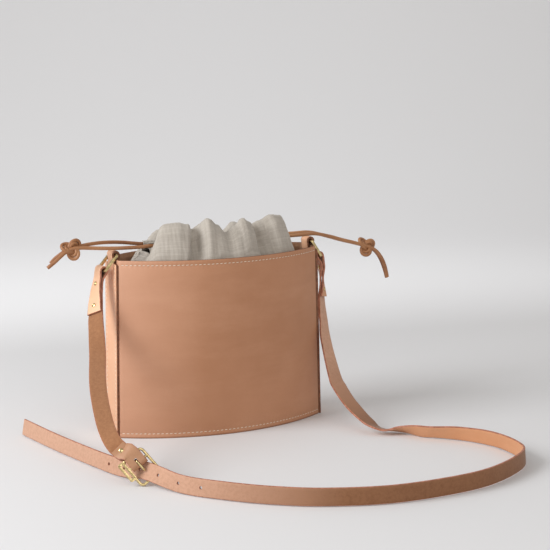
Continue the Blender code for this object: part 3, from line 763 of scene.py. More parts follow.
def paint(piece: Piece, finish: Sequence[Material]) -> None:
    """Give a piece its materials and keep the material index of each face.

    Args:
        piece: The piece.
        finish: Its materials, in the order of its material indices.
    """
    faces = piece.data.polygons if piece.type == "MESH" else ()
    indices = [face.material_index for face in faces]
    piece.data.materials.clear()
    for material in finish:
        piece.data.materials.append(material)
    for face, index in zip(faces, indices):
        face.material_index = index


def skin_faces(piece: Piece, outward: Callable[[bpy.types.MeshPolygon], Vector]) -> None:
    """Mark each face of a leather wall as grain, flesh or cut edge.

    Args:
        piece: The piece.
        outward: Gives the outward direction at a face.
    """
    flat = 0.6
    for face in piece.data.polygons:
        lean = face.normal.dot(outward(face))
        face.material_index = Skin.GRAIN if lean > flat else Skin.FLESH if lean < -flat else Skin.EDGE


def dress(piece: Piece, name: str, slot: Slot, finish: Sequence[Material], *nodes: str) -> Piece:
    """Name and paint a finished piece, hang it under the body and hide the CAD nodes that it stands for.

    Args:
        piece: The piece.
        name: Its plain name.
        slot: The record's slot for its finish; not used.
        finish: Its materials, in the order of its material indices.
        *nodes: The CAD nodes that it stands for.

    Returns:
        The piece.
    """
    piece.name = name
    piece.data.name = name
    paint(piece, finish)
    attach(piece, BODY)
    if nodes:
        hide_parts(*nodes)
    log.info("%s is done", name)
    return piece


def join(pieces: Sequence[Piece]) -> Piece:
    """Join meshes into the first one and return it."""
    pick(pieces[0])
    for piece in pieces[1:]:
        piece.select_set(True)
    bpy.ops.object.join()
    return bpy.context.object


def loft(
    name: str, rows: Sequence[Sequence[Vector]], closed: bool = False, caps: bool = False,
    indices: Sequence[int] = (),
) -> Piece:
    """Join rows of points into a surface with a UV map in metres.

    Args:
        name: The new object's name.
        rows: Rows with the same number of points.
        closed: Whether each row is a ring.
        caps: Whether the first and last rings are filled.
        indices: The material index of each column, if they differ.

    Returns:
        The new object.
    """
    work = bmesh.new()
    uv = work.loops.layers.uv.new("surface")
    grid = [[work.verts.new(point) for point in row] for row in rows]
    count = len(rows[0])
    middle = len(rows) // 2
    across = [0.0]
    for i in range(count):
        a, b = rows[middle][i], rows[middle][(i + 1) % count]
        across.append(across[-1] + (b - a).length)
    along = [0.0]
    for low, high in zip(rows, rows[1:]):
        along.append(along[-1] + sum((high[k] - low[k]).length for k in range(0, count, 3)) * 3 / count)
    for i in range(len(rows) - 1):
        for j in range(count if closed else count - 1):
            k = (j + 1) % count
            face = work.faces.new((grid[i][j], grid[i][k], grid[i + 1][k], grid[i + 1][j]))
            if indices:
                face.material_index = indices[j]
            places = ((across[j], along[i]), (across[j + 1], along[i]))
            places += ((across[j + 1], along[i + 1]), (across[j], along[i + 1]))
            for loop, spot in zip(face.loops, places):
                loop[uv].uv = spot
    if caps:
        for ring in (grid[0], list(reversed(grid[-1]))):
            face = work.faces.new(list(reversed(ring)))
            face.material_index = Skin.EDGE
    bmesh.ops.recalc_face_normals(work, faces=work.faces)
    mesh = bpy.data.meshes.new(name)
    work.to_mesh(mesh)
    work.free()
    return link(name, mesh)


def smooth_route(points: Sequence[Vector], step: float) -> list[Vector]:
    """Return points along a smooth curve through given points.

    Args:
        points: The points that it goes through.
        step: About how far apart the new points are.

    Returns:
        The curve's points.
    """
    out: list[Vector] = []
    for i in range(len(points) - 1):
        before = points[max(i - 1, 0)]
        start, end = points[i], points[i + 1]
        after = points[min(i + 2, len(points) - 1)]
        count = max(1, round((end - start).length / step))
        for j in range(count):
            t = j / count
            curve = 2 * start + (end - before) * t
            curve += (2 * before - 5 * start + 4 * end - after) * t * t
            curve += (3 * start - before - 3 * end + after) * t * t * t
            out.append(0.5 * curve)
    out.append(points[-1])
    return out


def plane_place(origin: Vector, along: Vector, across: Vector) -> Matrix:
    """Return the matrix of a plane.

    Args:
        origin: Its origin.
        along: Its X direction.
        across: About its Y direction.

    Returns:
        The matrix.
    """
    x_axis = along.normalized()
    z_axis = x_axis.cross(across).normalized()
    y_axis = z_axis.cross(x_axis)
    turn = Matrix((x_axis, y_axis, z_axis)).transposed().to_4x4()
    return Matrix.Translation(origin) @ turn


def face_place(origin: Vector, face: Vector) -> Matrix:
    """Return the matrix of a place whose Z points out of a face."""
    turn = Vector((0.0, 0.0, 1.0)).rotation_difference(face).to_matrix().to_4x4()
    return Matrix.Translation(origin) @ turn


def round_line(
    name: str, points: Sequence[Vector], radius: float, rounds: int, taper: Sequence[float] = ()
) -> Piece:
    """Make a round curve along points.

    Args:
        name: The new object's name.
        points: The points that it follows.
        radius: Its radius.
        rounds: How finely its section is rounded.
        taper: The share of the radius at each point, if it changes.

    Returns:
        The new object.
    """
    line = bpy.data.curves.new(name, "CURVE")
    line.dimensions = "3D"
    line.bevel_depth = radius
    line.bevel_resolution = rounds
    line.use_fill_caps = True
    spline = line.splines.new("POLY")
    spline.points.add(len(points) - 1)
    for i, spot in enumerate(points):
        spline.points[i].co = (*spot, 1.0)
        spline.points[i].radius = taper[i] if taper else 1.0
    return link(name, line)


def rod(name: str, points: Sequence[Vector], radius: float, taper: Sequence[float] = ()) -> Piece:
    """Make a round rod along points, as a mesh.

    Args:
        name: The new object's name.
        points: The points that it follows.
        radius: Its radius.
        taper: The share of the radius at each point, if it changes.

    Returns:
        The new object.
    """
    pick(round_line(name, points, radius, 5, taper))
    bpy.ops.object.convert(target="MESH")
    return bpy.context.object


# The leather body


@dataclass(frozen=True)
class BodySizes:
    """Sizes of the bag's leather body, as packed."""

    height: float = 0.195
    width_bottom: float = 0.244
    width_top: float = 0.237
    bulge_bottom: float = 0.0385
    bulge_top: float = 0.0430
    gusset: float = 0.035
    leather: float = 0.0024
    flange: float = 0.0083
    corner: float = 0.0028
    base_rim: float = 0.011
    gap: float = 0.0003
    loop_width: float = 0.0155
    loop_tail: float = 0.026
    loop_slack: float = 0.0004
    loop_bulge: float = 0.0012
    shoulder_drop: float = 0.0052
    ring_rise: float = 0.0047
    ring_bar: float = 0.0028
    gusset_sag: float = 0.0011

    def half_width(self, height: float) -> float:
        """Return half the inside distance between the gussets at a height."""
        return blend(self.width_bottom, self.width_top, height / self.height) / 2

    def bow(self, height: float) -> tuple[float, float]:
        """Return the radius of the front panel's outer face and the Y of its centre."""
        bulge = blend(self.bulge_bottom, self.bulge_top, height / self.height)
        half = self.half_width(height)
        radius = (half * half + bulge * bulge) / (2 * bulge)
        return radius, radius - bulge - self.gusset / 2

    def sag(self, across: float, height: float) -> float:
        """Return how far a gusset is pressed in between its two seams."""
        share = math.cos(across / self.gusset * math.pi) ** 2 * math.sin(height / self.height * math.pi)
        return self.gusset_sag * share

    @property
    def loop_radius(self) -> float:
        """Return the radius of the leather's middle line round a ring's bar."""
        return self.ring_bar / math.sqrt(2) + self.loop_slack + self.leather / 2

    def loop_centre(self, side: Side) -> Vector:
        """Return the middle of the ring bar that a gusset's loop holds."""
        across = self.half_width(self.height) + self.leather / 2 - self.loop_radius + self.loop_bulge
        return Vector((side * across, 0.0, self.height + self.ring_rise))


@dataclass
class LeatherBody:
    """The two bowed panels, the two gussets with their loops, the base and the seams."""

    finishes: Finishes
    sizes: BodySizes = field(default_factory=BodySizes)
    seam_drop: float = 0.0049
    seam_rise: float = 0.0052
    groove: float = 0.0007
    groove_depth: float = 0.00028
    bow_steps: int = 84
    base_steps: int = 48
    flange_seam: float = 0.0042
    edge_round: float = 0.0005
    strip_steps: int = 13
    loop_steps: int = 14
    # rise over the shoulder's foot, and how much narrower half the gusset is there
    shoulder: tuple[Row, ...] = ((0.0006, 0.0022), (0.0013, 0.0065))
    shoulder_rise: float = 0.0020

    def build(self) -> None:
        """Build and dress every piece of the body."""
        for facing, name in ((1, "front_panel"), (-1, "back_panel")):
            self.panel(name, facing)
        for side, name in ((Side.LEFT, "gusset_left"), (Side.RIGHT, "gusset_right")):
            self.gusset(name, side)
        self.base()
        self.seams()

    def stiffen(self, piece: Piece) -> None:
        """Give a sheet its leather wall and its softened edges."""
        thicken(piece, self.sizes.leather)
        soften(piece, self.edge_round, 2, 50)

    def rows(self) -> list[tuple[float, float]]:
        """Return the panel's rows as height and inward dip, with the two seam grooves."""
        high = self.sizes.height
        top, low = high - self.seam_drop, self.seam_rise
        rows = [(0.0, 0.0), (low - self.groove, 0.0), (low, self.groove_depth), (low + self.groove, 0.0)]
        rows += [(blend(low, top, i / 12), 0.0) for i in range(1, 12)]
        rows += [(top - self.groove, 0.0), (top, self.groove_depth), (top + self.groove, 0.0), (high, 0.0)]
        return rows

    def panel(self, name: str, facing: int) -> None:
        """Spin a panel's bow, turn its flanges in and give it its wall.

        Args:
            name: The CAD node that it stands for.
            facing: 1 for the front panel, -1 for the back one.
        """
        s = self.sizes
        radius, middle = s.bow(0.0)
        radius -= s.leather / 2
        side = s.half_width(0.0) - s.gap - s.leather / 2
        reach = math.asin((side - s.corner) / (radius - s.corner))
        rows = self.rows()
        foot = Vector((-radius * math.sin(reach), middle - radius * math.cos(reach), 0.0))
        piece = first_edge(foot, foot + Vector((0.0, 0.0, s.height)), len(rows) - 2)
        for vert, (height, _) in zip(sorted(piece.data.vertices, key=lambda v: v.co.z), rows):
            vert.co.z = height
        with editing(piece):
            bpy.ops.mesh.spin(
                steps=self.bow_steps, angle=-2 * reach, center=(0, middle, 0), axis=(0, 0, 1)
            )
            for turn in (-1, 1):
                self.flange(piece, turn, radius, middle, reach)
            bpy.ops.mesh.select_all(action="SELECT")
            bpy.ops.mesh.remove_doubles(threshold=0.00005)
            self.shape(piece, rows)
        self.wall(piece, facing)
        dress(piece, name + "_leather", Slot.PANEL, self.finishes.panel, name)

    def flange(self, piece: Piece, turn: int, radius: float, middle: float, reach: float) -> None:
        """Spin a panel's corner and extrude its flange, in edit mode.

        Args:
            piece: The panel.
            turn: -1 for its left end, 1 for its right end.
            radius: The bow's radius.
            middle: The Y of the bow's centre.
            reach: The bow's half angle.
        """
        s = self.sizes
        end = radius * math.sin(reach) * turn
        choose(piece, lambda spot: abs(spot.x - end) < 1e-5)
        inner = radius - s.corner
        centre = (turn * inner * math.sin(reach), middle - inner * math.cos(reach), 0.0)
        bpy.ops.mesh.spin(steps=5, angle=-turn * (math.pi / 2 - reach), center=centre, axis=(0, 0, 1))
        length = -s.gusset / 2 + s.flange - centre[1]
        bpy.ops.mesh.extrude_edges_move(TRANSFORM_OT_translate={"value": (0, length, 0)})

    def shape(self, piece: Piece, rows: Sequence[tuple[float, float]]) -> None:
        """Taper a panel with height and press in its seam grooves, in edit mode.

        Args:
            piece: The panel.
            rows: Height and inward dip of each row.
        """
        s = self.sizes
        _, middle = s.bow(0.0)
        dips = {round(height, 6): dip for height, dip in rows}
        work = bmesh.from_edit_mesh(piece.data)
        for vert in work.verts:
            share = vert.co.z / s.height
            ray = Vector((vert.co.x, vert.co.y - middle, 0.0)).normalized()
            vert.co -= ray * dips.get(round(vert.co.z, 6), 0.0)
            vert.co.x *= blend(1.0, s.width_top / s.width_bottom, share)
            if vert.co.y < -s.gusset / 2:
                stretch = blend(1.0, s.bulge_top / s.bulge_bottom, share)
                vert.co.y = -s.gusset / 2 + (vert.co.y + s.gusset / 2) * stretch
        bmesh.update_edit_mesh(piece.data)

    def wall(self, piece: Piece, facing: int) -> None:
        """Give a panel its thickness, its rounded edges and its three finishes.

        Args:
            piece: The panel.
            facing: 1 for the front panel, -1 for the back one.
        """
        s = self.sizes
        if facing < 0:
            settle(piece, Matrix.Rotation(math.pi, 4, "Z"))
        with editing(piece):
            bpy.ops.mesh.normals_make_consistent(inside=False)
        self.stiffen(piece)
        _, middle = s.bow(s.height / 2)

        def outward(face: bpy.types.MeshPolygon) -> Vector:
            """Return a panel's outward direction at a face."""
            if abs(face.center.y) < s.gusset / 2:
                return Vector((math.copysign(1.0, face.center.x), 0.0, 0.0))
            return Vector((face.center.x, face.center.y - middle * facing, 0.0)).normalized()

        skin_faces(piece, outward)

    def gusset(self, name: str, side: Side) -> None:
        """Extrude a gusset along its profile: strip, neck, loop and tail.

        Args:
            name: The CAD node that it stands for.
            side: Which side it closes.
        """
        s = self.sizes
        centre = s.loop_centre(side)
        radius = s.loop_radius
        wide, narrow = s.gusset / 2, s.loop_width / 2
        profile = []
        shoulder = s.height - s.shoulder_drop
        for i in range(self.strip_steps + 1):
            height = blend(0.0, shoulder, i / self.strip_steps)
            profile.append((s.half_width(height) + s.leather / 2, height, wide))
        top = s.half_width(s.height) + s.leather / 2
        profile += [(top, shoulder + rise, wide - less) for rise, less in self.shoulder]
        profile.append((top, shoulder + self.shoulder_rise, narrow))
        profile.append((top + s.loop_bulge * 0.3, s.height, narrow))
        for i in range(self.loop_steps + 1):
            angle = math.pi * i / self.loop_steps
            across = abs(centre.x) + radius * math.cos(angle)
            profile.append((across, centre.z + radius * math.sin(angle), narrow))
        inner = s.half_width(s.height) - s.gap - s.leather / 2
        profile.append((abs(centre.x) - radius + 0.0008, s.height - 0.002, narrow))
        profile.append((inner, s.height - 0.010, narrow))
        profile.append((inner, s.height - s.loop_tail, narrow))
        across, height, half = profile[0]
        first = Vector((side * across, -half, height))
        piece = first_edge(first, first + Vector((0.0, 2 * half, 0.0)), 9)
        with editing(piece):
            for before, after in zip(profile, profile[1:]):
                shift = (side * (after[0] - before[0]), 0.0, after[1] - before[1])
                bpy.ops.mesh.extrude_edges_move(TRANSFORM_OT_translate={"value": shift})
                if after[2] != before[2]:
                    bpy.ops.transform.resize(
                        value=(1, after[2] / before[2], 1), center_override=(side * after[0], 0, after[1])
                    )
            bpy.ops.mesh.select_all(action="SELECT")
            bpy.ops.mesh.normals_make_consistent(inside=False)
        for vert in piece.data.vertices:
            if vert.co.z < s.height - s.shoulder_drop:
                vert.co.x -= side * s.sag(vert.co.y, vert.co.z)
        self.stiffen(piece)

        def outward(face: bpy.types.MeshPolygon) -> Vector:
            """Return a gusset's outward direction at a face."""
            if face.center.z > s.height - 0.001 and abs(face.normal.y) < 0.6:
                return Vector((face.center.x - centre.x, 0.0, face.center.z - centre.z)).normalized()
            inside = abs(face.center.x) < s.half_width(face.center.z) - s.gap / 2
            return Vector((float(-side if inside else side), 0.0, 0.0))

        skin_faces(piece, outward)
        dress(piece, name + "_leather", Slot.GUSSET, self.finishes.gusset, name)

    def base(self) -> None:
        """Make the lens-shaped base with its rim turned up inside the panels."""
        s = self.sizes
        rings = []
        inset = 1.5 * s.leather + s.gap
        for height in (s.leather / 2, s.leather, s.base_rim):
            radius, middle = s.bow(height)
            radius -= inset
            half = s.half_width(height) - 2 * s.gap - 1.5 * s.leather - s.corner
            reach = math.asin(half / radius)
            front = []
            for i in range(self.base_steps + 1):
                angle = blend(-reach, reach, i / self.base_steps)
                front.append(Vector((radius * math.sin(angle), middle - radius * math.cos(angle), height)))
            rings.append(front + [Vector((-p.x, -p.y, p.z)) for p in front])
        piece = loft("base_panel_leather", rings, closed=True)
        with reworked(piece) as work:
            floor_over(work, len(rings[0]))
        self.stiffen(piece)
        for face in piece.data.polygons:
            inside = face.center.z > s.leather * 0.9 and face.normal.z > 0.5
            face.material_index = Skin.FLESH if inside else Skin.GRAIN
        dress(piece, "base_panel_leather", Slot.PANEL, self.finishes.panel, "base_panel")

    def seams(self) -> None:
        """Sew the rims, the base and the gussets."""
        s = self.sizes
        stitch = Stitch()
        places = []
        for facing in (1, -1):
            for height in (s.height - self.seam_drop, self.seam_rise):
                places += self.bow_stitches(stitch, height, facing)
        for side in Side:
            for across in (-s.gusset / 2 + self.flange_seam, s.gusset / 2 - self.flange_seam):
                places += self.gusset_stitches(stitch, side, across)
            places += self.tail_stitches(stitch, side)
        row = stitch.sew("seam_stitches", places)
        dress(row, "seam_stitches", Slot.PANEL, [self.finishes.thread])

    def bow_stitches(self, stitch: Stitch, height: float, facing: int) -> list[Matrix]:
        """Return the places of one row of stitches round a panel's bow.

        Args:
            stitch: The stitch, for its pitch.
            height: The row's height.
            facing: 1 for the front panel, -1 for the back one.

        Returns:
            One matrix for each stitch.
        """
        s = self.sizes
        radius, middle = s.bow(height)
        reach = math.asin((s.half_width(height) - 0.002) / radius)
        count = round(2 * reach * radius / stitch.pitch)
        places = []
        for i in range(count):
            angle = blend(-reach, reach, (i + 0.5) / count)
            out = Vector((math.sin(angle), -math.cos(angle), 0.0))
            spot = Vector((0.0, middle, height)) + out * (radius - self.groove_depth * 0.4)
            along = Vector((math.cos(angle), math.sin(angle), 0.0))
            if facing < 0:
                flip = Vector((-1.0, -1.0, 1.0))
                spot, along, out = spot * flip, along * flip, out * flip
            places.append(stitch.place(spot, along, out))
        return places

    def gusset_stitches(self, stitch: Stitch, side: Side, across: float) -> list[Matrix]:
        """Return the places of one upright row of stitches on a gusset.

        Args:
            stitch: The stitch, for its pitch.
            side: Which gusset.
            across: The row's Y.

        Returns:
            One matrix for each stitch.
        """
        s = self.sizes
        low, high = self.seam_rise, s.height - s.shoulder_drop - 0.004
        count = round((high - low) / stitch.pitch)
        places = []
        for i in range(count):
            height = blend(low, high, (i + 0.5) / count)
            out = Vector((float(side), 0.0, 0.0))
            spot = Vector((side * (s.half_width(height) + s.leather - s.sag(across, height)), across, height))
            places.append(stitch.place(spot, Vector((0.0, 0.0, 1.0)), out))
        return places

    def tail_stitches(self, stitch: Stitch, side: Side) -> list[Matrix]:
        """Return the few stitches that hold a loop's tail behind its gusset.

        Args:
            stitch: The stitch, for its pitch.
            side: Which gusset.

        Returns:
            One matrix for each stitch.
        """
        s = self.sizes
        places = []
        for i in range(3):
            height = s.height - 0.012 - i * stitch.pitch
            spot = Vector((side * (s.half_width(height) + s.leather), -0.001, height))
            places.append(stitch.place(spot, Vector((0.0, 0.0, 1.0)), Vector((float(side), 0.0, 0.0))))
        return places


@dataclass
class Stitch:
    """One stitch of waxed thread, modelled once and copied along each seam."""

    pitch: float = 0.0047
    length: float = 0.0032
    width: float = 0.00075
    height: float = 0.00055
    slant: float = math.radians(7)

    def place(self, spot: Vector, along: Vector, out: Vector) -> Matrix:
        """Return a stitch's matrix.

        Args:
            spot: Its middle, on the leather.
            along: The seam's direction.
            out: The leather's outward direction.

        Returns:
            The matrix.
        """
        across = out.cross(along)
        turned = along * math.cos(self.slant) + across * math.sin(self.slant)
        return plane_place(spot, turned, out.cross(turned))

    def sew(self, name: str, places: Iterable[Matrix]) -> Piece:
        """Copy the stitch to every place and join the copies.

        Args:
            name: The seam's name.
            places: One matrix for each stitch.

        Returns:
            The seam.
        """
        clear_selection()
        bpy.ops.mesh.primitive_uv_sphere_add(segments=8, ring_count=6, radius=1.0)
        one = bpy.context.object
        with editing(one):
            bpy.ops.transform.rotate(value=math.pi / 2, orient_axis="Y", center_override=(0, 0, 0))
            bpy.ops.transform.resize(value=(self.length / 2, self.width / 2, self.height / 2))
        work = bmesh.new()
        for place in places:
            copy = one.data.copy()
            copy.transform(place)
            work.from_mesh(copy)
            bpy.data.meshes.remove(copy)
        mesh = bpy.data.meshes.new(name)
        work.to_mesh(mesh)
        work.free()
        bpy.data.objects.remove(one)
        piece = link(name, mesh)
        pick(piece)
        bpy.ops.object.shade_smooth()
        return piece


# Brass


@dataclass
class Hardware:
    """The two rings, the buckle with its tongue, and the rivets."""

    finishes: Finishes
    body: BodySizes = field(default_factory=BodySizes)
    ring_width: float = 0.0185
    ring_reach: float = 0.0212
    ring_bar: float = 0.0028
    ring_corner: float = 0.0028
    lean_left: float = math.radians(41)
    lean_right: float = math.radians(33)
    buckle_side: float = -1.369
    buckle_ahead: float = 1.0
    buckle_lift: float = 0.0008
    turn: float = math.radians(-20.4)
    tilt: float = math.radians(15.8)
    roll: float = math.radians(50)
    bar: float = 0.0028
    thickness: float = 0.0025
    rear: float = 0.0095
    front: float = 0.0200
    inside: float = 0.0205
    corner: float = 0.0050
    keeper_inside: float = 0.0016
    keeper_length: float = 0.0215
    tongue_radius: float = 0.00125
    tongue_length: float = 0.0102
    tongue_start: float = -55.0
    tongue_turn: float = -215.0
    tongue_steps: int = 18
    rivet_head: float = 0.0023
    rivet_shank: float = 0.0012
    head_height: float = 0.0009
    head_lift: float = 0.00035
    head_dish: float = 0.0004

    def build(self) -> None:
        """Build and dress the rings and the buckle."""
        for side, lean, name in (
            (Side.LEFT, self.lean_left, "ring_left"),
            (Side.RIGHT, self.lean_right, "ring_right"),
        ):
            way = self.ring_way(side, lean)
            middle = self.body.loop_centre(side) + way * self.ring_reach / 2
            long = self.ring_reach + self.ring_bar
            wide = self.ring_width + 2 * self.ring_bar
            ring = self.flat_frame(long, wide, self.ring_bar, self.ring_corner)
            settle(ring, plane_place(middle, way, Vector((0.0, 1.0, 0.0))))
            soften(ring, 0.0007, 4, 50)
            dress(ring, name + "_brass", Slot.BRASS, [self.finishes.brass], name)
        self.buckle()
        self.tongue()

    def ring_way(self, side: Side, lean: float) -> Vector:
        """Return the direction from a ring's upper bar to its lower one."""
        return Vector((side * math.sin(lean), 0.0, -math.cos(lean)))

    def ring_foot(self, side: Side) -> Vector:
        """Return the middle of the ring bar that a strap hangs from."""
        lean = self.lean_left if side is Side.LEFT else self.lean_right
        return self.body.loop_centre(side) + self.ring_way(side, lean) * self.ring_reach

    def flat_frame(self, long: float, wide: float, bar: float, corner: float) -> Piece:
        """Make a flat rounded frame round the origin.

        Args:
            long: Its outside length along X.
            wide: Its outside width along Y.
            bar: The width and thickness of its bars.
            corner: Its outside corner radius.

        Returns:
            The frame.
        """
        clear_selection()
        bpy.ops.mesh.primitive_plane_add(size=1)
        piece = bpy.context.object
        with editing(piece):
            bpy.ops.transform.resize(value=(long, wide, 1))
            bpy.ops.mesh.bevel(offset=corner, segments=6, affect="VERTICES")
            bpy.ops.mesh.select_all(action="SELECT")
            bpy.ops.mesh.inset(thickness=bar)
            bpy.ops.mesh.delete(type="FACE")
            bpy.ops.mesh.select_all(action="SELECT")
            bpy.ops.mesh.extrude_region_move(TRANSFORM_OT_translate={"value": (0, 0, bar)})
            bpy.ops.mesh.select_all(action="SELECT")
            bpy.ops.transform.translate(value=(0, 0, -bar / 2))
            bpy.ops.mesh.normals_make_consistent(inside=False)
        return piece

    def buckle_axes(self) -> tuple[Vector, Vector, Vector]:
        """Return the buckle's length, width and face directions."""
        face = Vector(
            (
                math.sin(self.turn) * math.cos(self.tilt),
                -math.cos(self.turn) * math.cos(self.tilt),
                math.sin(self.tilt),
            )
        )
        level = Vector((0.0, 0.0, 1.0)).cross(face).normalized()
        upright = face.cross(level)
        length = level * math.cos(self.roll) - upright * math.sin(self.roll)
        width = level * math.sin(self.roll) + upright * math.cos(self.roll)
        return length, width, face

    def buckle_place(self) -> Vector:
        """Return the middle of the buckle's middle bar."""
        length, width, _ = self.buckle_axes()
        rounding = self.corner * (math.sqrt(2) - 1)
        height = abs(length.z) * (self.front + self.bar / 2)
        height += abs(width.z) * (self.inside / 2 + self.bar) - rounding
        return Vector(
            (
                self.buckle_side * self.body.half_width(0.0),
                -self.buckle_ahead * self.body.height,
                height + self.buckle_lift,
            )
        )

    def buckle(self) -> None:
        """Join the buckle's frame, its keeper and its middle bar."""
        length, width, _ = self.buckle_axes()
        place = plane_place(self.buckle_place(), length, width)
        long = self.rear + self.front + self.bar
        wide = self.inside + 2 * self.bar
        frame = self.flat_frame(long, wide, self.bar, self.corner)
        settle(frame, Matrix.Translation(((self.front - self.rear) / 2, 0, 0)))
        keeper_wide = self.keeper_inside + 2 * self.bar
        keeper = self.flat_frame(self.keeper_length, keeper_wide, self.bar, self.corner * 0.4)
        across = -(wide / 2 + self.keeper_inside / 2)
        along = -self.rear - self.bar / 2 + self.keeper_length / 2
        settle(keeper, Matrix.Translation((along, across, 0)))
        upright = Matrix.Rotation(math.pi / 2, 4, "X")
        middle = drum(self.bar / 2, self.inside + self.bar, 20, upright)
        for piece in (frame, keeper):
            soften(piece, self.bar * 0.36, 4, 50)
        joined = join([frame, keeper, middle])
        settle(joined, place)
        smooth_shade(joined, 50)
        dress(joined, "buckle_frame_brass", Slot.BRASS, [self.finishes.brass], "buckle_frame")

    def tongue(self) -> None:
        """Bend the buckle's tongue round its middle bar."""
        length, width, _ = self.buckle_axes()
        place = plane_place(self.buckle_place(), length, width)
        eye = math.hypot(self.bar, self.thickness) / 2 + self.body.gap + self.tongue_radius
        points = []
        for i in range(self.tongue_steps + 1):
            angle = math.radians(self.tongue_start + self.tongue_turn * i / self.tongue_steps)
            points.append(Vector((eye * math.cos(angle), 0.0, eye * math.sin(angle))))
        for reach, drop in ((0.5, 0.95), (0.8, 0.78), (1.0, 0.55)):
            points.append(Vector((self.tongue_length * reach, 0.0, eye * drop)))
        taper = [1.0] * (len(points) - 2) + [0.95, 0.6]
        piece = rod("buckle_tongue", [place @ p for p in points], self.tongue_radius, taper)
        smooth_shade(piece, 50)
        dress(piece, "buckle_tongue_brass", Slot.BRASS, [self.finishes.brass], "buckle_tongue")

    def rivet(self, name: str, middle: Vector, face: Vector, grip: float) -> None:
        """Set a rivet with a dished head on each side of two strap layers.

        Args:
            name: The CAD node that it stands for.
            middle: The rivet's middle.
            face: The strap's outward direction there.
            grip: From the middle to the underside of each head.
        """
        heads = []
        for flip in (1, -1):
            head = drum(self.rivet_head, self.head_height, 28)
            with editing(head):
                choose(head, lambda spot: spot.z > 0)
                bpy.ops.mesh.inset(thickness=self.rivet_head * 0.45)
                bpy.ops.transform.translate(value=(0, 0, self.head_lift))
                bpy.ops.mesh.inset(thickness=self.rivet_head * 0.18)
                bpy.ops.transform.translate(value=(0, 0, -self.head_dish))
            turn = Matrix.Rotation(0.0 if flip > 0 else math.pi, 4, "X")
            settle(head, Matrix.Translation((0, 0, flip * (grip + self.head_lift))) @ turn)
            soften(head, 0.00018, 2, 30)
            heads.append(head)
        piece = join([*heads, drum(self.rivet_shank, 2 * grip, 16)])
        settle(piece, face_place(middle, face))
        smooth_shade(piece, 35)
        dress(piece, name + "_brass", Slot.BRASS, [self.finishes.brass], name)


# Straps


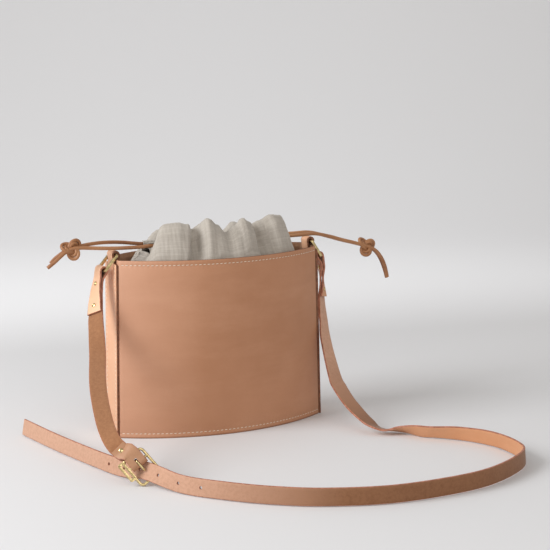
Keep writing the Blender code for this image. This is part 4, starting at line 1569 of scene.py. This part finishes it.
@dataclass
class Straps:
    """The short strap with the buckle, and the long strap that lies round on the floor."""

    finishes: Finishes
    hardware: Hardware
    body: BodySizes = field(default_factory=BodySizes)
    width: float = 0.0175
    thickness: float = 0.0022
    tab: float = 0.052
    tab_short: float = 0.029
    layer_gap: float = 0.0006
    layer_ease: float = 0.0110
    straight: float = 0.0130
    lift: float = 0.0009
    hole_radius: float = 0.0016
    hole_pitch: float = 0.0260
    hole_count: int = 6
    hole_first: float = 2.36
    slot: float = 0.0029
    slot_length: float = 0.0098
    settle_over: float = 0.0300
    strap_pass: float = 0.0116
    strap_pass_side: float = 0.0010
    lean: Point = (-0.436, -0.173, -0.884)
    rivet_hole: float = 0.0014
    rivet_depth: float = 0.011
    rivet_upper: float = 0.0160
    rivet_lower: float = 0.0420
    rivet_buckle: float = 0.0215
    step: float = 0.0028
    round_off: float = 0.00055
    face_steps: int = 6
    turn_steps: int = 14
    # side, ahead and rise as shares, then heading and slope of the width in degrees
    short_route: tuple[Row, ...] = ()
    long_route: tuple[Row, ...] = ()
    tail_route: tuple[Row, ...] = ()

    def place(self, row: Sequence[float]) -> Spot:
        """Return the strap's middle and its width's direction for one row of a route.

        Args:
            row: The row.

        Returns:
            The middle and the width's direction.
        """
        side, ahead, rise, turn, tip = row
        turn, tip = math.radians(turn), math.radians(tip)
        across = Vector((math.sin(turn) * math.cos(tip), math.cos(turn) * math.cos(tip), math.sin(tip)))
        lowest = abs(across.z) * self.width / 2 + self.lift
        lowest += math.sqrt(1 - across.z**2) * self.thickness / 2
        high = self.body.height
        spot = Vector((side * self.body.half_width(rise * high), -ahead * high, max(rise * high, lowest)))
        return spot, across

    def line(self, places: Sequence[Spot]) -> list[Station]:
        """Return smooth stations along a route.

        Args:
            places: Middle and width direction at each of its points.

        Returns:
            Middle, width direction, face direction and distance of each station.
        """
        points = smooth_route([place for place, _ in places], self.step)
        knots = [0.0]
        for (a, _), (b, _) in zip(places, places[1:]):
            knots.append(knots[-1] + (b - a).length)
        travelled = [0.0]
        for a, b in zip(points, points[1:]):
            travelled.append(travelled[-1] + (b - a).length)
        stretch = knots[-1] / travelled[-1]
        stations = []
        for i, point in enumerate(points):
            at = travelled[i] * stretch
            k = max(j for j in range(len(knots) - 1) if knots[j] <= at + 1e-9)
            share = ease((at - knots[k]) / (knots[k + 1] - knots[k]))
            ahead = (points[min(i + 1, len(points) - 1)] - points[max(i - 1, 0)]).normalized()
            across = places[k][1].lerp(places[k + 1][1], share)
            across = (across - ahead * across.dot(ahead)).normalized()
            stations.append((point, across, ahead.cross(across), travelled[i]))
        return stations

    def offset(self, distance: float, bar: float, hold: float = 0.0) -> float:
        """Return how far a layer lies from the strap's middle, near a bar and away from it."""
        near = bar + self.layer_gap + self.thickness / 2
        far = (self.layer_gap + self.thickness) / 2
        return blend(near, far, ease((distance - hold) / self.layer_ease))

    def turn_round(self, station: Station, way: Vector, bar: float, layer: Layer) -> list[Spot]:
        """Return stations round a bar, from the strap's main layer to its folded layer.

        Args:
            station: The strap's station at the bar.
            way: The direction past the bar.
            bar: The bar's radius.
            layer: Which face the folded layer lies on.

        Returns:
            Middle and width direction at each station.
        """
        middle, across, face, _ = station
        radius = self.offset(0.0, bar)
        out = []
        for i in range(1, self.turn_steps):
            angle = math.pi * i / self.turn_steps
            spot = middle + way * radius * math.sin(angle) - face * layer * radius * math.cos(angle)
            out.append((spot, across))
        return out

    def folded(
        self, stations: Sequence[Station], tab: float, bar: float, layer: Layer, hold: float = 0.0
    ) -> list[Spot]:
        """Return the folded layer of a strap's end, from its own edge to the bar.

        Args:
            stations: The strap's stations from that bar on.
            tab: How far the folded layer reaches.
            bar: The bar's radius.
            layer: Which face the folded layer lies on.
            hold: How far the layers stay apart before they close up.

        Returns:
            Middle and width direction at each station.
        """
        kept = [s for s in stations if s[3] <= tab]
        return [(s[0] + s[2] * layer * self.offset(s[3], bar, hold), s[1]) for s in reversed(kept)]

    def section(self) -> tuple[list[tuple[float, float]], list[int]]:
        """Return the strap's rounded outline and the material index of each of its sides."""
        half, thick, off = self.width / 2, self.thickness / 2, self.round_off
        edge = (
            (half - off * 0.3, thick - off * 0.3),
            (half, thick - off),
            (half, off - thick),
            (half - off * 0.3, off * 0.3 - thick),
        )
        outline, indices = [], []
        for sign, skin in ((1, Skin.GRAIN), (-1, Skin.FLESH)):
            for i in range(self.face_steps + 1):
                across = blend(-half + off, half - off, i / self.face_steps)
                outline.append((sign * across, sign * thick))
                indices.append(skin if i < self.face_steps else Skin.EDGE)
            outline += [(sign * a, sign * b) for a, b in edge]
            indices += [Skin.EDGE] * len(edge)
        return outline, indices

    def band(self, name: str, layers: Sequence[Spot], grain_out: int) -> Piece:
        """Make a strap's body along its layers.

        Args:
            name: Its name.
            layers: Middle and width direction at each station.
            grain_out: 1 where the grain lies on the face side, -1 where it lies behind.

        Returns:
            The strap.
        """
        outline, indices = self.section()
        rows = []
        for i, (middle, across) in enumerate(layers):
            before, after = layers[max(i - 1, 0)][0], layers[min(i + 1, len(layers) - 1)][0]
            face = (after - before).normalized().cross(across).normalized() * grain_out
            rows.append([middle + across * a + face * b for a, b in outline])
        return loft(name, rows, closed=True, caps=True, indices=indices)

    def punch(self, piece: Piece, cutters: Sequence[Piece], finish: Sequence[Material]) -> None:
        """Cut holes through a strap.

        Args:
            piece: The strap.
            cutters: The shapes to take out of it.
            finish: The strap's materials.
        """
        cutter = join(cutters)
        paint(cutter, [finish[Skin.EDGE]])
        paint(piece, finish)
        knife = piece.modifiers.new("holes", "BOOLEAN")
        knife.operation = "DIFFERENCE"
        knife.solver = "EXACT"
        knife.material_mode = "TRANSFER"
        knife.object = cutter
        apply_all(piece)
        bpy.data.objects.remove(cutter)

    def hole(self, middle: Vector, face: Vector, radius: float, depth: float) -> Piece:
        """Return a round cutter through a strap."""
        return drum(radius, depth, 24, face_place(middle, face))

    def drill(
        self, marks: Sequence[tuple[str, Sequence[Station], float]]
    ) -> tuple[list[tuple[str, Vector, Vector]], list[Piece]]:
        """Find the places of a strap's rivets and make the cutters for them.

        Args:
            marks: Each rivet's name, the stations that it is measured on and its distance.

        Returns:
            Each rivet's name, middle and face direction, and the cutters.
        """
        spots = [(name, *self.at(stations, distance)) for name, stations, distance in marks]
        cutters = [self.hole(middle, out, self.rivet_hole, self.rivet_depth) for _, middle, out in spots]
        return spots, cutters

    def at(self, stations: Sequence[Station], distance: float) -> Spot:
        """Return the middle and the face of the strap at a distance along it.

        Args:
            stations: The strap's stations.
            distance: The distance from the first one.

        Returns:
            The middle and the face direction.
        """
        for a, b in zip(stations, stations[1:]):
            if a[3] <= distance <= b[3]:
                share = (distance - a[3]) / (b[3] - a[3])
                return a[0].lerp(b[0], share), a[2].lerp(b[2], share).normalized()
        return stations[-1][0], stations[-1][2]

    def build(self) -> None:
        """Build and dress both straps and their rivets."""
        self.build_short()
        self.build_long()

    def build_short(self) -> None:
        """Build the strap from the left ring to the buckle."""
        hardware = self.hardware
        length, width, _ = hardware.buckle_axes()
        buckle = hardware.buckle_place()
        places = [(hardware.ring_foot(Side.LEFT), Vector((0.0, 1.0, 0.0)))]
        places += [self.place(row) for row in self.short_route]
        places += [(buckle - length * reach, -width) for reach in (self.straight, 0.0)]
        line = self.line(places)
        total = line[-1][3]
        back = [(s[0], s[1], s[2], total - s[3]) for s in reversed(line)]
        hold = hardware.rear + hardware.bar / 2 + self.body.gap
        ring_bar = hardware.ring_bar / math.sqrt(2)
        buckle_bar = math.hypot(hardware.bar, hardware.thickness) / 2
        outward = (line[0][0] - line[1][0]).normalized()
        layers = self.folded(line, self.tab, ring_bar, Layer.BACK)
        layers += reversed(self.turn_round(line[0], outward, ring_bar, Layer.BACK))
        for middle, across, out, gone in line:
            lift = max(self.offset(gone, ring_bar), self.offset(total - gone, buckle_bar, hold))
            layers.append((middle + out * lift, across))
        layers += self.turn_round(line[-1], length, buckle_bar, Layer.BACK)
        layers += reversed(self.folded(back, self.tab_short, buckle_bar, Layer.BACK, hold))
        strap = self.band("strap_short", layers, 1)
        # Painted shade: grain faces in the lower half of the short strap take the darker copy of its grain.
        for face in strap.data.polygons:
            if face.material_index == Skin.GRAIN and face.center.z < self.body.height / 2:
                face.material_index = Skin.RUBBED
        spots, cutters = self.drill(
            (
                ("rivet_left_upper", line, self.rivet_upper),
                ("rivet_left_lower", line, self.rivet_lower),
                ("rivet_buckle", back, self.rivet_buckle),
            )
        )
        clear_selection()
        bpy.ops.mesh.primitive_cube_add(size=1)
        slot = bpy.context.object
        size = Matrix.Diagonal((self.slot_length, self.slot, 0.015, 1.0))
        settle(slot, plane_place(buckle, length, width) @ size)
        cutters.append(slot)
        self.punch(strap, cutters, self.finishes.strap)
        smooth_shade(strap, 35)
        dress(strap, "strap_short_leather", Slot.STRAP, self.finishes.strap, "strap_short")
        self.rivets(spots)

    def build_long(self) -> None:
        """Build the strap from the right ring round to its tip."""
        hardware = self.hardware
        length, width, _ = hardware.buckle_axes()
        through = hardware.buckle_place() + length * self.strap_pass + width * self.strap_pass_side
        places = [(hardware.ring_foot(Side.RIGHT), Vector((0.0, 1.0, 0.0)))]
        places += [self.place(row) for row in self.long_route]
        places += [(through, Vector(self.lean).normalized())]
        places += [self.place(row) for row in self.tail_route]
        line = self.line(places)
        ring_bar = hardware.ring_bar / math.sqrt(2)
        outward = (line[0][0] - line[1][0]).normalized()
        layers = self.folded(line, self.tab, ring_bar, Layer.FRONT)
        layers += reversed(self.turn_round(line[0], outward, ring_bar, Layer.FRONT))
        for middle, across, out, gone in line:
            share = min(max((gone - self.tab) / self.settle_over, 0.0), 1.0)
            layers.append((middle - out * self.offset(gone, ring_bar) * (1 - share), across))
        strap = self.band("strap_long", layers, -1)
        spots, cutters = self.drill(
            (
                ("rivet_right_upper", line, self.rivet_upper),
                ("rivet_right_lower", line, self.rivet_lower),
            )
        )
        crossing = min(line, key=lambda s: (s[0] - through).length)[3]
        for i in range(self.hole_count):
            middle, out = self.at(line, crossing + (self.hole_first - i) * self.hole_pitch)
            cutters.append(self.hole(middle, out, self.hole_radius, 3 * self.thickness))
        self.punch(strap, cutters, self.finishes.long_strap)
        smooth_shade(strap, 35)
        dress(strap, "strap_long_leather", Slot.STRAP, self.finishes.long_strap, "strap_long")
        self.rivets(spots)

    def rivets(self, spots: Sequence[tuple[str, Vector, Vector]]) -> None:
        """Set a rivet in each drilled place."""
        grip = self.thickness + self.layer_gap / 2
        for name, middle, out in spots:
            self.hardware.rivet(name, middle, out, grip)


# Linen and laces


@dataclass
class LinenPouch:
    """The gathered linen liner with its two casings."""

    finishes: Finishes
    body: BodySizes = field(default_factory=BodySizes)
    linen: float = 0.0009
    margin: float = 0.0016
    end: float = 0.0105
    span: float = 0.160
    crest: float = 0.0375
    mouth: float = 0.0130
    casing_rise: float = 0.0125
    casing_radius: float = 0.0031
    valley: float = 0.58
    draw_in: float = 0.0075
    stations: int = 190
    shoulder_steps: int = 34
    casing_steps: int = 19
    closed_end: float = 0.16
    route_step: float = 0.0022
    crease_band: float = 0.012
    gather_waves: float = 1450.0
    gather_depth: float = 0.00034
    lump_depth: float = 0.0019
    crease_depth: float = 0.0016
    hump: tuple[Row, ...] = ((0.20, 0.42), (0.33, 0.78), (0.52, 1.0), (0.72, 0.86), (0.88, 0.50))
    rows: tuple[float, ...] = (0.023, 0.256, 0.615, 0.913)
    # place along half the span, crest height, how far the fold puffs out
    front_folds: tuple[Point, ...] = ()
    back_folds: tuple[Point, ...] = ()

    def fold(self, folds: Sequence[Point], share: float) -> tuple[float, float]:
        """Return crest and puff at a share of half the span, eased between the table's rows.

        Args:
            folds: The fold table.
            share: The share.

        Returns:
            The crest and the puff.
        """
        for (a, crest_a, puff_a), (b, crest_b, puff_b) in zip(folds, folds[1:]):
            if share <= b:
                t = ease((share - a) / (b - a))
                return blend(crest_a, crest_b, t), blend(puff_a, puff_b, t)
        return folds[-1][1], folds[-1][2]

    def column(self, folds: Sequence[Point], share: float, facing: int) -> list[Vector]:
        """Return one upright line of the pouch, from its floor to its casing's inner edge.

        Args:
            folds: The fold table of its side.
            share: The line's place as a share of half the span.
            facing: 1 for the front, -1 for the back.

        Returns:
            The line's points.
        """
        s = self.body
        crest, puff = self.fold(folds, share)
        ends = 1 - min(1.0, (1 - abs(share)) / self.closed_end)
        points = []
        for share_up in self.rows:
            height = share_up * s.height
            inset = s.leather + (s.leather + s.gap if height < s.base_rim else 0.0) + self.margin
            radius, middle = s.bow(height)
            x = share * (s.half_width(height) - self.end - self.draw_in * share_up**4)
            points.append(Vector((x, middle - math.sqrt((radius - inset) ** 2 - x * x), height)))
        low = points[-1]
        casing_x = share * self.span / 2
        mouth = self.mouth / 2 + self.casing_radius
        casing_z = s.height + self.casing_rise
        top = s.height + self.crest * crest
        for inward, upward in self.hump:
            y = blend(low.y * blend(self.valley, 1.0, puff), -mouth - self.casing_radius, inward)
            x = blend(low.x, casing_x, min(1.0, inward * 1.35 + 0.1))
            z = blend(s.height - 0.004, top, upward)
            level = blend(low.z, casing_z - self.casing_radius, inward)
            points.append(Vector((x, y, blend(z, level, ends))))
        upper = smooth_route(points[3:], self.route_step)
        steps = self.shoulder_steps
        shoulder = [upper[round(i * (len(upper) - 1) / steps)] for i in range(steps + 1)]
        casing = []
        start = blend(180, 236, ends)
        for i in range(self.casing_steps + 1):
            angle = math.radians(blend(start, 476, i / self.casing_steps))
            y = -mouth + self.casing_radius * math.cos(angle)
            casing.append(Vector((casing_x, y, casing_z + self.casing_radius * math.sin(angle))))
        line = points[:3] + shoulder + casing
        return [Vector((p.x, p.y * facing, p.z)) for p in line]

    def build(self) -> None:
        shares = [blend(-1, 1, i / self.stations) for i in range(self.stations + 1)]
        shares = [0.55 * math.sin(t * math.pi / 2) + 0.45 * t for t in shares]
        front = [self.column(self.front_folds, t, 1) for t in shares]
        back = [self.column(self.back_folds, t, -1) for t in reversed(shares)]
        columns = front + back
        rows = [list(row) for row in zip(*columns)]
        piece = loft("linen_pouch", rows, closed=True)
        self.open_ends(piece, len(columns))
        self.crumple(piece)
        thicken(piece, self.linen, even=False)
        pick(piece)
        bpy.ops.object.shade_smooth()
        dress(piece, "linen_pouch_cloth", Slot.LINEN, [self.finishes.linen], "linen_pouch")

    def open_ends(self, piece: Piece, count: int) -> None:
        """Open the casings' ends and close the pouch's floor.

        Args:
            piece: The pouch.
            count: How many columns it has.
        """
        first_casing = (3 + self.shoulder_steps - 1) * count
        bridges = ({count // 2 - 1, count // 2}, {count - 1, 0})
        with reworked(piece) as work:
            doomed = []
            for face in work.faces:
                ids = [v.index for v in face.verts]
                if min(ids) >= first_casing and {i % count for i in ids} in bridges:
                    doomed.append(face)
            bmesh.ops.delete(work, geom=doomed, context="FACES_ONLY")
            floor_over(work, count)

    def crumple(self, piece: Piece) -> None:
        """Press fine gathers and creases into the cloth above the rim.

        Args:
            piece: The pouch.
        """
        s = self.body
        normals = [v.normal.copy() for v in piece.data.vertices]
        casing_z = s.height + self.casing_rise
        mouth = self.mouth / 2 + self.casing_radius
        for vert, normal in zip(piece.data.vertices, normals):
            if vert.co.z < s.height - self.crease_band:
                continue
            near = math.hypot(abs(vert.co.y) - mouth, vert.co.z - casing_z)
            free = ease((near - self.casing_radius) / self.crease_band)
            rise = ease((vert.co.z - s.height) / self.crease_band + 1)
            gathers = math.sin(vert.co.x * self.gather_waves + 2.2 * noise.noise(vert.co * 30))
            gathers *= self.gather_depth * (1 - 0.6 * free) * ease(near / 0.006)
            big = noise.noise(vert.co * 34) * self.lump_depth
            creases = 0.5 - abs(noise.noise(vert.co * 62 + Vector((4.0, 0, 0))))
            creases *= self.crease_depth
            vert.co += normal * rise * (free * (big + creases) + gathers * min(1.0, near / 0.004))


@dataclass
class Laces:
    """The two drawstring laces and the two knots that tie them together."""

    finishes: Finishes
    diameter: float = 0.0040
    knot_inner: float = 0.0073
    knot_outer: float = 0.0113
    route_step: float = 0.0022
    knot_steps: int = 144
    knot_weave: float = 0.56
    knot_strand: float = 0.47
    knot_upright: Point = (0.2, 0.35, 0.9)
    front: tuple[Point, ...] = ()
    back: tuple[Point, ...] = ()
    knot_left: tuple[Point, Point] = ((-0.1640, 0.0, 0.2088), (1.0, 0.0, 0.20))
    knot_right: tuple[Point, Point] = ((0.1935, 0.0, 0.1874), (1.0, 0.0, -0.32))

    def build(self) -> None:
        """Build the knots, then the laces that run through them."""
        knots = [
            self.knot("lace_knot_left", self.knot_left),
            self.knot("lace_knot_right", self.knot_right),
        ]
        for name, route in (("lace_front", self.front), ("lace_back", self.back)):
            self.lace(name, route, knots)

    def lace(self, name: str, route: Sequence[Point], knots: Sequence[Piece]) -> None:
        """Lay one lace from its left tip to its right tip.

        Args:
            name: The CAD node that it stands for.
            route: Its points.
            knots: The knots on it; not used.
        """
        points = smooth_route([Vector(point) for point in route], self.route_step)
        piece = round_line(name + "_cord", points, self.diameter / 2, 6)
        piece.data.splines[0].use_smooth = True
        dress(piece, name + "_cord", Slot.LACE, [self.finishes.lace], name)

    def knot(self, name: str, where: tuple[Point, Point]) -> Piece:
        """Wind the turns of a knot round both laces.

        Args:
            name: The CAD node that it stands for.
            where: The knot's middle and the laces' direction through it.

        Returns:
            The knot.
        """
        middle, way = where
        place = plane_place(Vector(middle), Vector(way), Vector(self.knot_upright))
        strands = []
        for reach in (self.knot_inner, self.knot_outer):
            points = []
            for i in range(self.knot_steps + 1):
                t = 2 * math.pi * i / self.knot_steps
                spot = Vector((math.sin(t) + 2 * math.sin(2 * t), math.cos(t) - 2 * math.cos(2 * t), 0.0))
                spot *= reach / 3
                spot.z = -math.sin(3 * t) * self.diameter * self.knot_weave
                points.append(place @ spot)
            strands.append(rod(name, points, self.diameter * self.knot_strand))
        piece = join(strands)
        smooth_shade(piece, 60)
        return dress(piece, name + "_cord", Slot.LACE, [self.finishes.lace], name)


# The studio


@dataclass(frozen=True)
class Lamp:
    """A square area light."""

    name: str
    at: Point
    aim: Point
    size: float
    power: float
    colour: Point

    def hang(self) -> None:
        """Put the light in the scene."""
        data = bpy.data.lights.new(self.name, "AREA")
        data.shape = "SQUARE"
        data.size = self.size
        data.energy = self.power
        data.color = self.colour
        lamp = link(self.name, data)
        lamp.location = self.at
        lamp.rotation_euler = (Vector(self.aim) - Vector(self.at)).to_track_quat("-Z", "Y").to_euler()


@dataclass
class Studio:
    """The floor, the light and the camera of the photograph."""

    camera_at: Point = (-0.695, -1.6185, 0.4462)
    camera_way: Point = (0.4246, 0.89176, -0.15645)
    camera_roll: float = -0.0094
    lens: float = 104.7
    heading: float = math.radians(-25.46)
    floor_size: float = 9.0
    floor_shift: float = -0.8
    wall_from: float = 3.0
    wall_height: float = 5.0
    sweep: float = 2.2
    air_colour: Point = (0.96, 0.93, 0.89)
    air_strength: float = 0.57
    lamps: tuple[Lamp, ...] = (
        Lamp("window", (-2.05, -0.10, 1.28), (0.0, -0.1, 0.08), 1.2, 47.0, (0.965, 0.985, 1.0)),
        Lamp("room", (-0.2, -3.2, 1.2), (0.0, -0.1, 0.08), 2.4, 20.0, (1.0, 0.95, 0.90)),
        Lamp("backdrop", (0.2, 0.9, 1.2), (0.9, 4.4, -0.2), 1.8, 10.0, (0.98, 0.99, 1.0)),
    )

    def build(self) -> None:
        """Set up the camera, the floor and the light."""
        self.camera()
        self.floor()
        self.light()

    def camera(self) -> None:
        """Place the camera."""
        data = bpy.data.cameras.new("camera")
        data.lens = self.lens
        data.sensor_width = 36.0
        data.clip_end = 50.0
        camera = link("camera", data)
        way = Vector(self.camera_way).normalized()
        right = way.cross(Vector((0.0, 0.0, 1.0))).normalized()
        up = right.cross(way)
        cos, sin = math.cos(self.camera_roll), math.sin(self.camera_roll)
        right, up = right * cos + up * sin, up * cos - right * sin
        turn = Matrix((right, up, -way)).transposed().to_4x4()
        camera.matrix_world = Matrix.Translation(self.camera_at) @ turn
        bpy.context.scene.camera = camera

    def floor(self) -> None:
        """Sweep a paper floor up behind the bag."""
        clear_selection()
        bpy.ops.mesh.primitive_plane_add(size=self.floor_size, location=(0, self.floor_shift, 0))
        paper = bpy.context.object
        settle(paper)
        with editing(paper):
            choose(paper, lambda spot: spot.y > self.wall_from)
            up = (0, 0, self.wall_height)
            bpy.ops.mesh.extrude_edges_move(TRANSFORM_OT_translate={"value": up})
        soften(paper, self.sweep, 24, 60)
        settle(paper, Matrix.Rotation(self.heading, 4, "Z"))
        paper.name = "studio_paper"
        paper.data.materials.append(StudioPaper().make())

    def light(self) -> None:
        """Fill the air with weak light and hang the lamps."""
        bpy.context.scene.view_settings.view_transform = "Standard"
        world = bpy.data.worlds.new("studio_air")
        bpy.context.scene.world = world
        world.use_nodes = True
        air = world.node_tree.nodes["Background"]
        air.inputs["Color"].default_value = tint(self.air_colour)
        air.inputs["Strength"].default_value = self.air_strength
        for lamp in self.lamps:
            lamp.hang()


# Routes of the straps: side, ahead and rise as shares, then the width's heading and slope
SHORT_ROUTE = (
    (-1.139, 0.003, 0.885, -3, 0),
    (-1.168, 0.022, 0.825, -11, 0),
    (-1.204, 0.066, 0.757, -21, 0),
    (-1.246, 0.135, 0.683, -36, 0),
    (-1.316, 0.290, 0.552, -62, 0),
    (-1.445, 0.525, 0.418, -72, -2),
    (-1.518, 0.745, 0.292, -73, -10),
    (-1.529, 0.885, 0.214, -76, -26),
    (-1.469, 0.948, 0.164, -80, -34),
)
LONG_ROUTE = (
    (1.126, 0.001, 0.880, 9, 0),
    (1.130, 0.004, 0.780, 28, 0),
    (1.125, 0.015, 0.668, 46, 0),
    (1.092, 0.062, 0.551, 53, 0),
    (1.058, 0.128, 0.439, 60, 2),
    (1.028, 0.262, 0.262, 66, 8),
    (1.014, 0.345, 0.205, 64, 12),
    (1.019, 0.470, 0.135, 58, 12),
    (1.057, 0.620, 0.066, 46, 8),
    (1.131, 0.695, 0.030, 32, -9),
    (1.275, 0.745, 0.000, 22, -28),
    (1.400, 0.895, 0.000, 22, -50),
    (1.620, 1.030, 0.000, 24, -62),
    (1.770, 1.228, 0.000, 60, -74),
    (1.765, 1.467, 0.000, 120, -82),
    (1.645, 1.616, 0.000, 180, -86),
    (1.283, 1.770, 0.000, 180, -87),
    (0.866, 1.855, 0.000, 180, -88),
    (0.227, 1.862, 0.000, 180, -88),
    (-0.292, 1.757, 0.000, 180, -88),
    (-0.630, 1.618, 0.000, 180, -87),
    (-0.904, 1.449, 0.000, 180, -85),
    (-1.148, 1.240, 0.000, 200, -80),
)
TAIL_ROUTE = (
    (-1.410, 0.820, 0.000, 254, -78),
    (-1.510, 0.581, 0.000, 260, -84),
    (-1.635, 0.178, 0.000, 270, -82),
    (-1.727, -0.218, 0.000, 270, -80),
)
# Folds of the linen: place along half the span, crest height, how far the fold puffs out
FRONT_FOLDS = (
    (-1.00, 0.10, 0.20),
    (-0.90, 0.78, 0.70),
    (-0.78, 1.00, 1.00),
    (-0.62, 1.02, 1.00),
    (-0.50, 0.94, 0.92),
    (-0.42, 0.76, 0.20),
    (-0.34, 0.84, 0.16),
    (-0.24, 1.06, 1.00),
    (-0.12, 0.88, 0.96),
    (0.02, 0.66, 0.90),
    (0.14, 0.84, 0.98),
    (0.26, 1.04, 1.00),
    (0.35, 0.90, 0.86),
    (0.42, 0.76, 0.04),
    (0.54, 0.88, 0.34),
    (0.70, 1.06, 1.00),
    (0.84, 1.00, 0.90),
    (0.93, 0.72, 0.60),
    (1.00, 0.10, 0.20),
)
BACK_FOLDS = (
    (-1.00, 0.10, 0.20),
    (-0.86, 0.30, 0.80),
    (-0.64, 0.62, 1.00),
    (-0.42, 0.66, 0.70),
    (-0.16, 0.58, 1.00),
    (0.00, 0.74, 0.90),
    (0.24, 0.44, 0.80),
    (0.44, 0.72, 1.00),
    (0.64, 0.46, 0.70),
    (0.80, 0.66, 0.96),
    (0.92, 0.54, 0.60),
    (1.00, 0.10, 0.20),
)
# Routes of the laces: X, Y and Z in metres, straight through the casing
CASING = (-0.0780, -0.0400, 0.0, 0.0400, 0.0780)
LACE_FRONT = (
    (-0.1925, -0.0030, 0.1905),
    (-0.1850, -0.0045, 0.1965),
    (-0.1780, -0.0040, 0.2020),
    (-0.1710, -0.0024, 0.2065),
    (-0.1640, -0.0022, 0.2090),
    (-0.1560, -0.0024, 0.2095),
    (-0.1450, -0.0036, 0.2088),
    (-0.1320, -0.0055, 0.2079),
    (-0.1180, -0.0076, 0.2072),
    (-0.1030, -0.0092, 0.2070),
    (-0.0880, -0.0098, 0.2070),
    *((x, -0.0098, 0.2075) for x in CASING),
    (0.0880, -0.0098, 0.2074),
    (0.1050, -0.0090, 0.2074),
    (0.1230, -0.0076, 0.2073),
    (0.1420, -0.0056, 0.2030),
    (0.1600, -0.0038, 0.1975),
    (0.1760, -0.0026, 0.1930),
    (0.1900, -0.0022, 0.1886),
    (0.1990, -0.0024, 0.1852),
    (0.2060, -0.0036, 0.1802),
    (0.2115, -0.0050, 0.1722),
    (0.2155, -0.0056, 0.1625),
    (0.2185, -0.0056, 0.1500),
)
LACE_BACK = (
    (-0.1865, 0.0050, 0.1940),
    (-0.1820, 0.0048, 0.1985),
    (-0.1770, 0.0034, 0.2025),
    (-0.1710, 0.0024, 0.2065),
    (-0.1640, 0.0022, 0.2090),
    (-0.1560, 0.0024, 0.2105),
    (-0.1450, 0.0036, 0.2118),
    (-0.1320, 0.0055, 0.2124),
    (-0.1180, 0.0076, 0.2120),
    (-0.1030, 0.0092, 0.2106),
    (-0.0880, 0.0098, 0.2084),
    *((x, 0.0098, 0.2075) for x in CASING),
    (0.0880, 0.0098, 0.2072),
    (0.1050, 0.0090, 0.2074),
    (0.1230, 0.0076, 0.2073),
    (0.1420, 0.0056, 0.2026),
    (0.1600, 0.0038, 0.1970),
    (0.1760, 0.0026, 0.1926),
    (0.1900, 0.0022, 0.1886),
    (0.1990, 0.0024, 0.1850),
    (0.2075, 0.0034, 0.1798),
    (0.2145, 0.0046, 0.1710),
    (0.2200, 0.0050, 0.1590),
    (0.2235, 0.0050, 0.1475),
)


def main() -> None:
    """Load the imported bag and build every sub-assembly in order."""
    logging.basicConfig(level=logging.INFO, format="%(name)s: %(message)s")
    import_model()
    finishes = Finishes()
    finishes.make()
    Studio().build()
    Laces(finishes, front=LACE_FRONT, back=LACE_BACK).build()
    LeatherBody(finishes).build()
    LinenPouch(finishes, front_folds=FRONT_FOLDS, back_folds=BACK_FOLDS).build()
    hardware = Hardware(finishes)
    hardware.build()
    Straps(
        finishes, hardware, short_route=SHORT_ROUTE, long_route=LONG_ROUTE, tail_route=TAIL_ROUTE
    ).build()


if __name__ == "__main__":
    main()
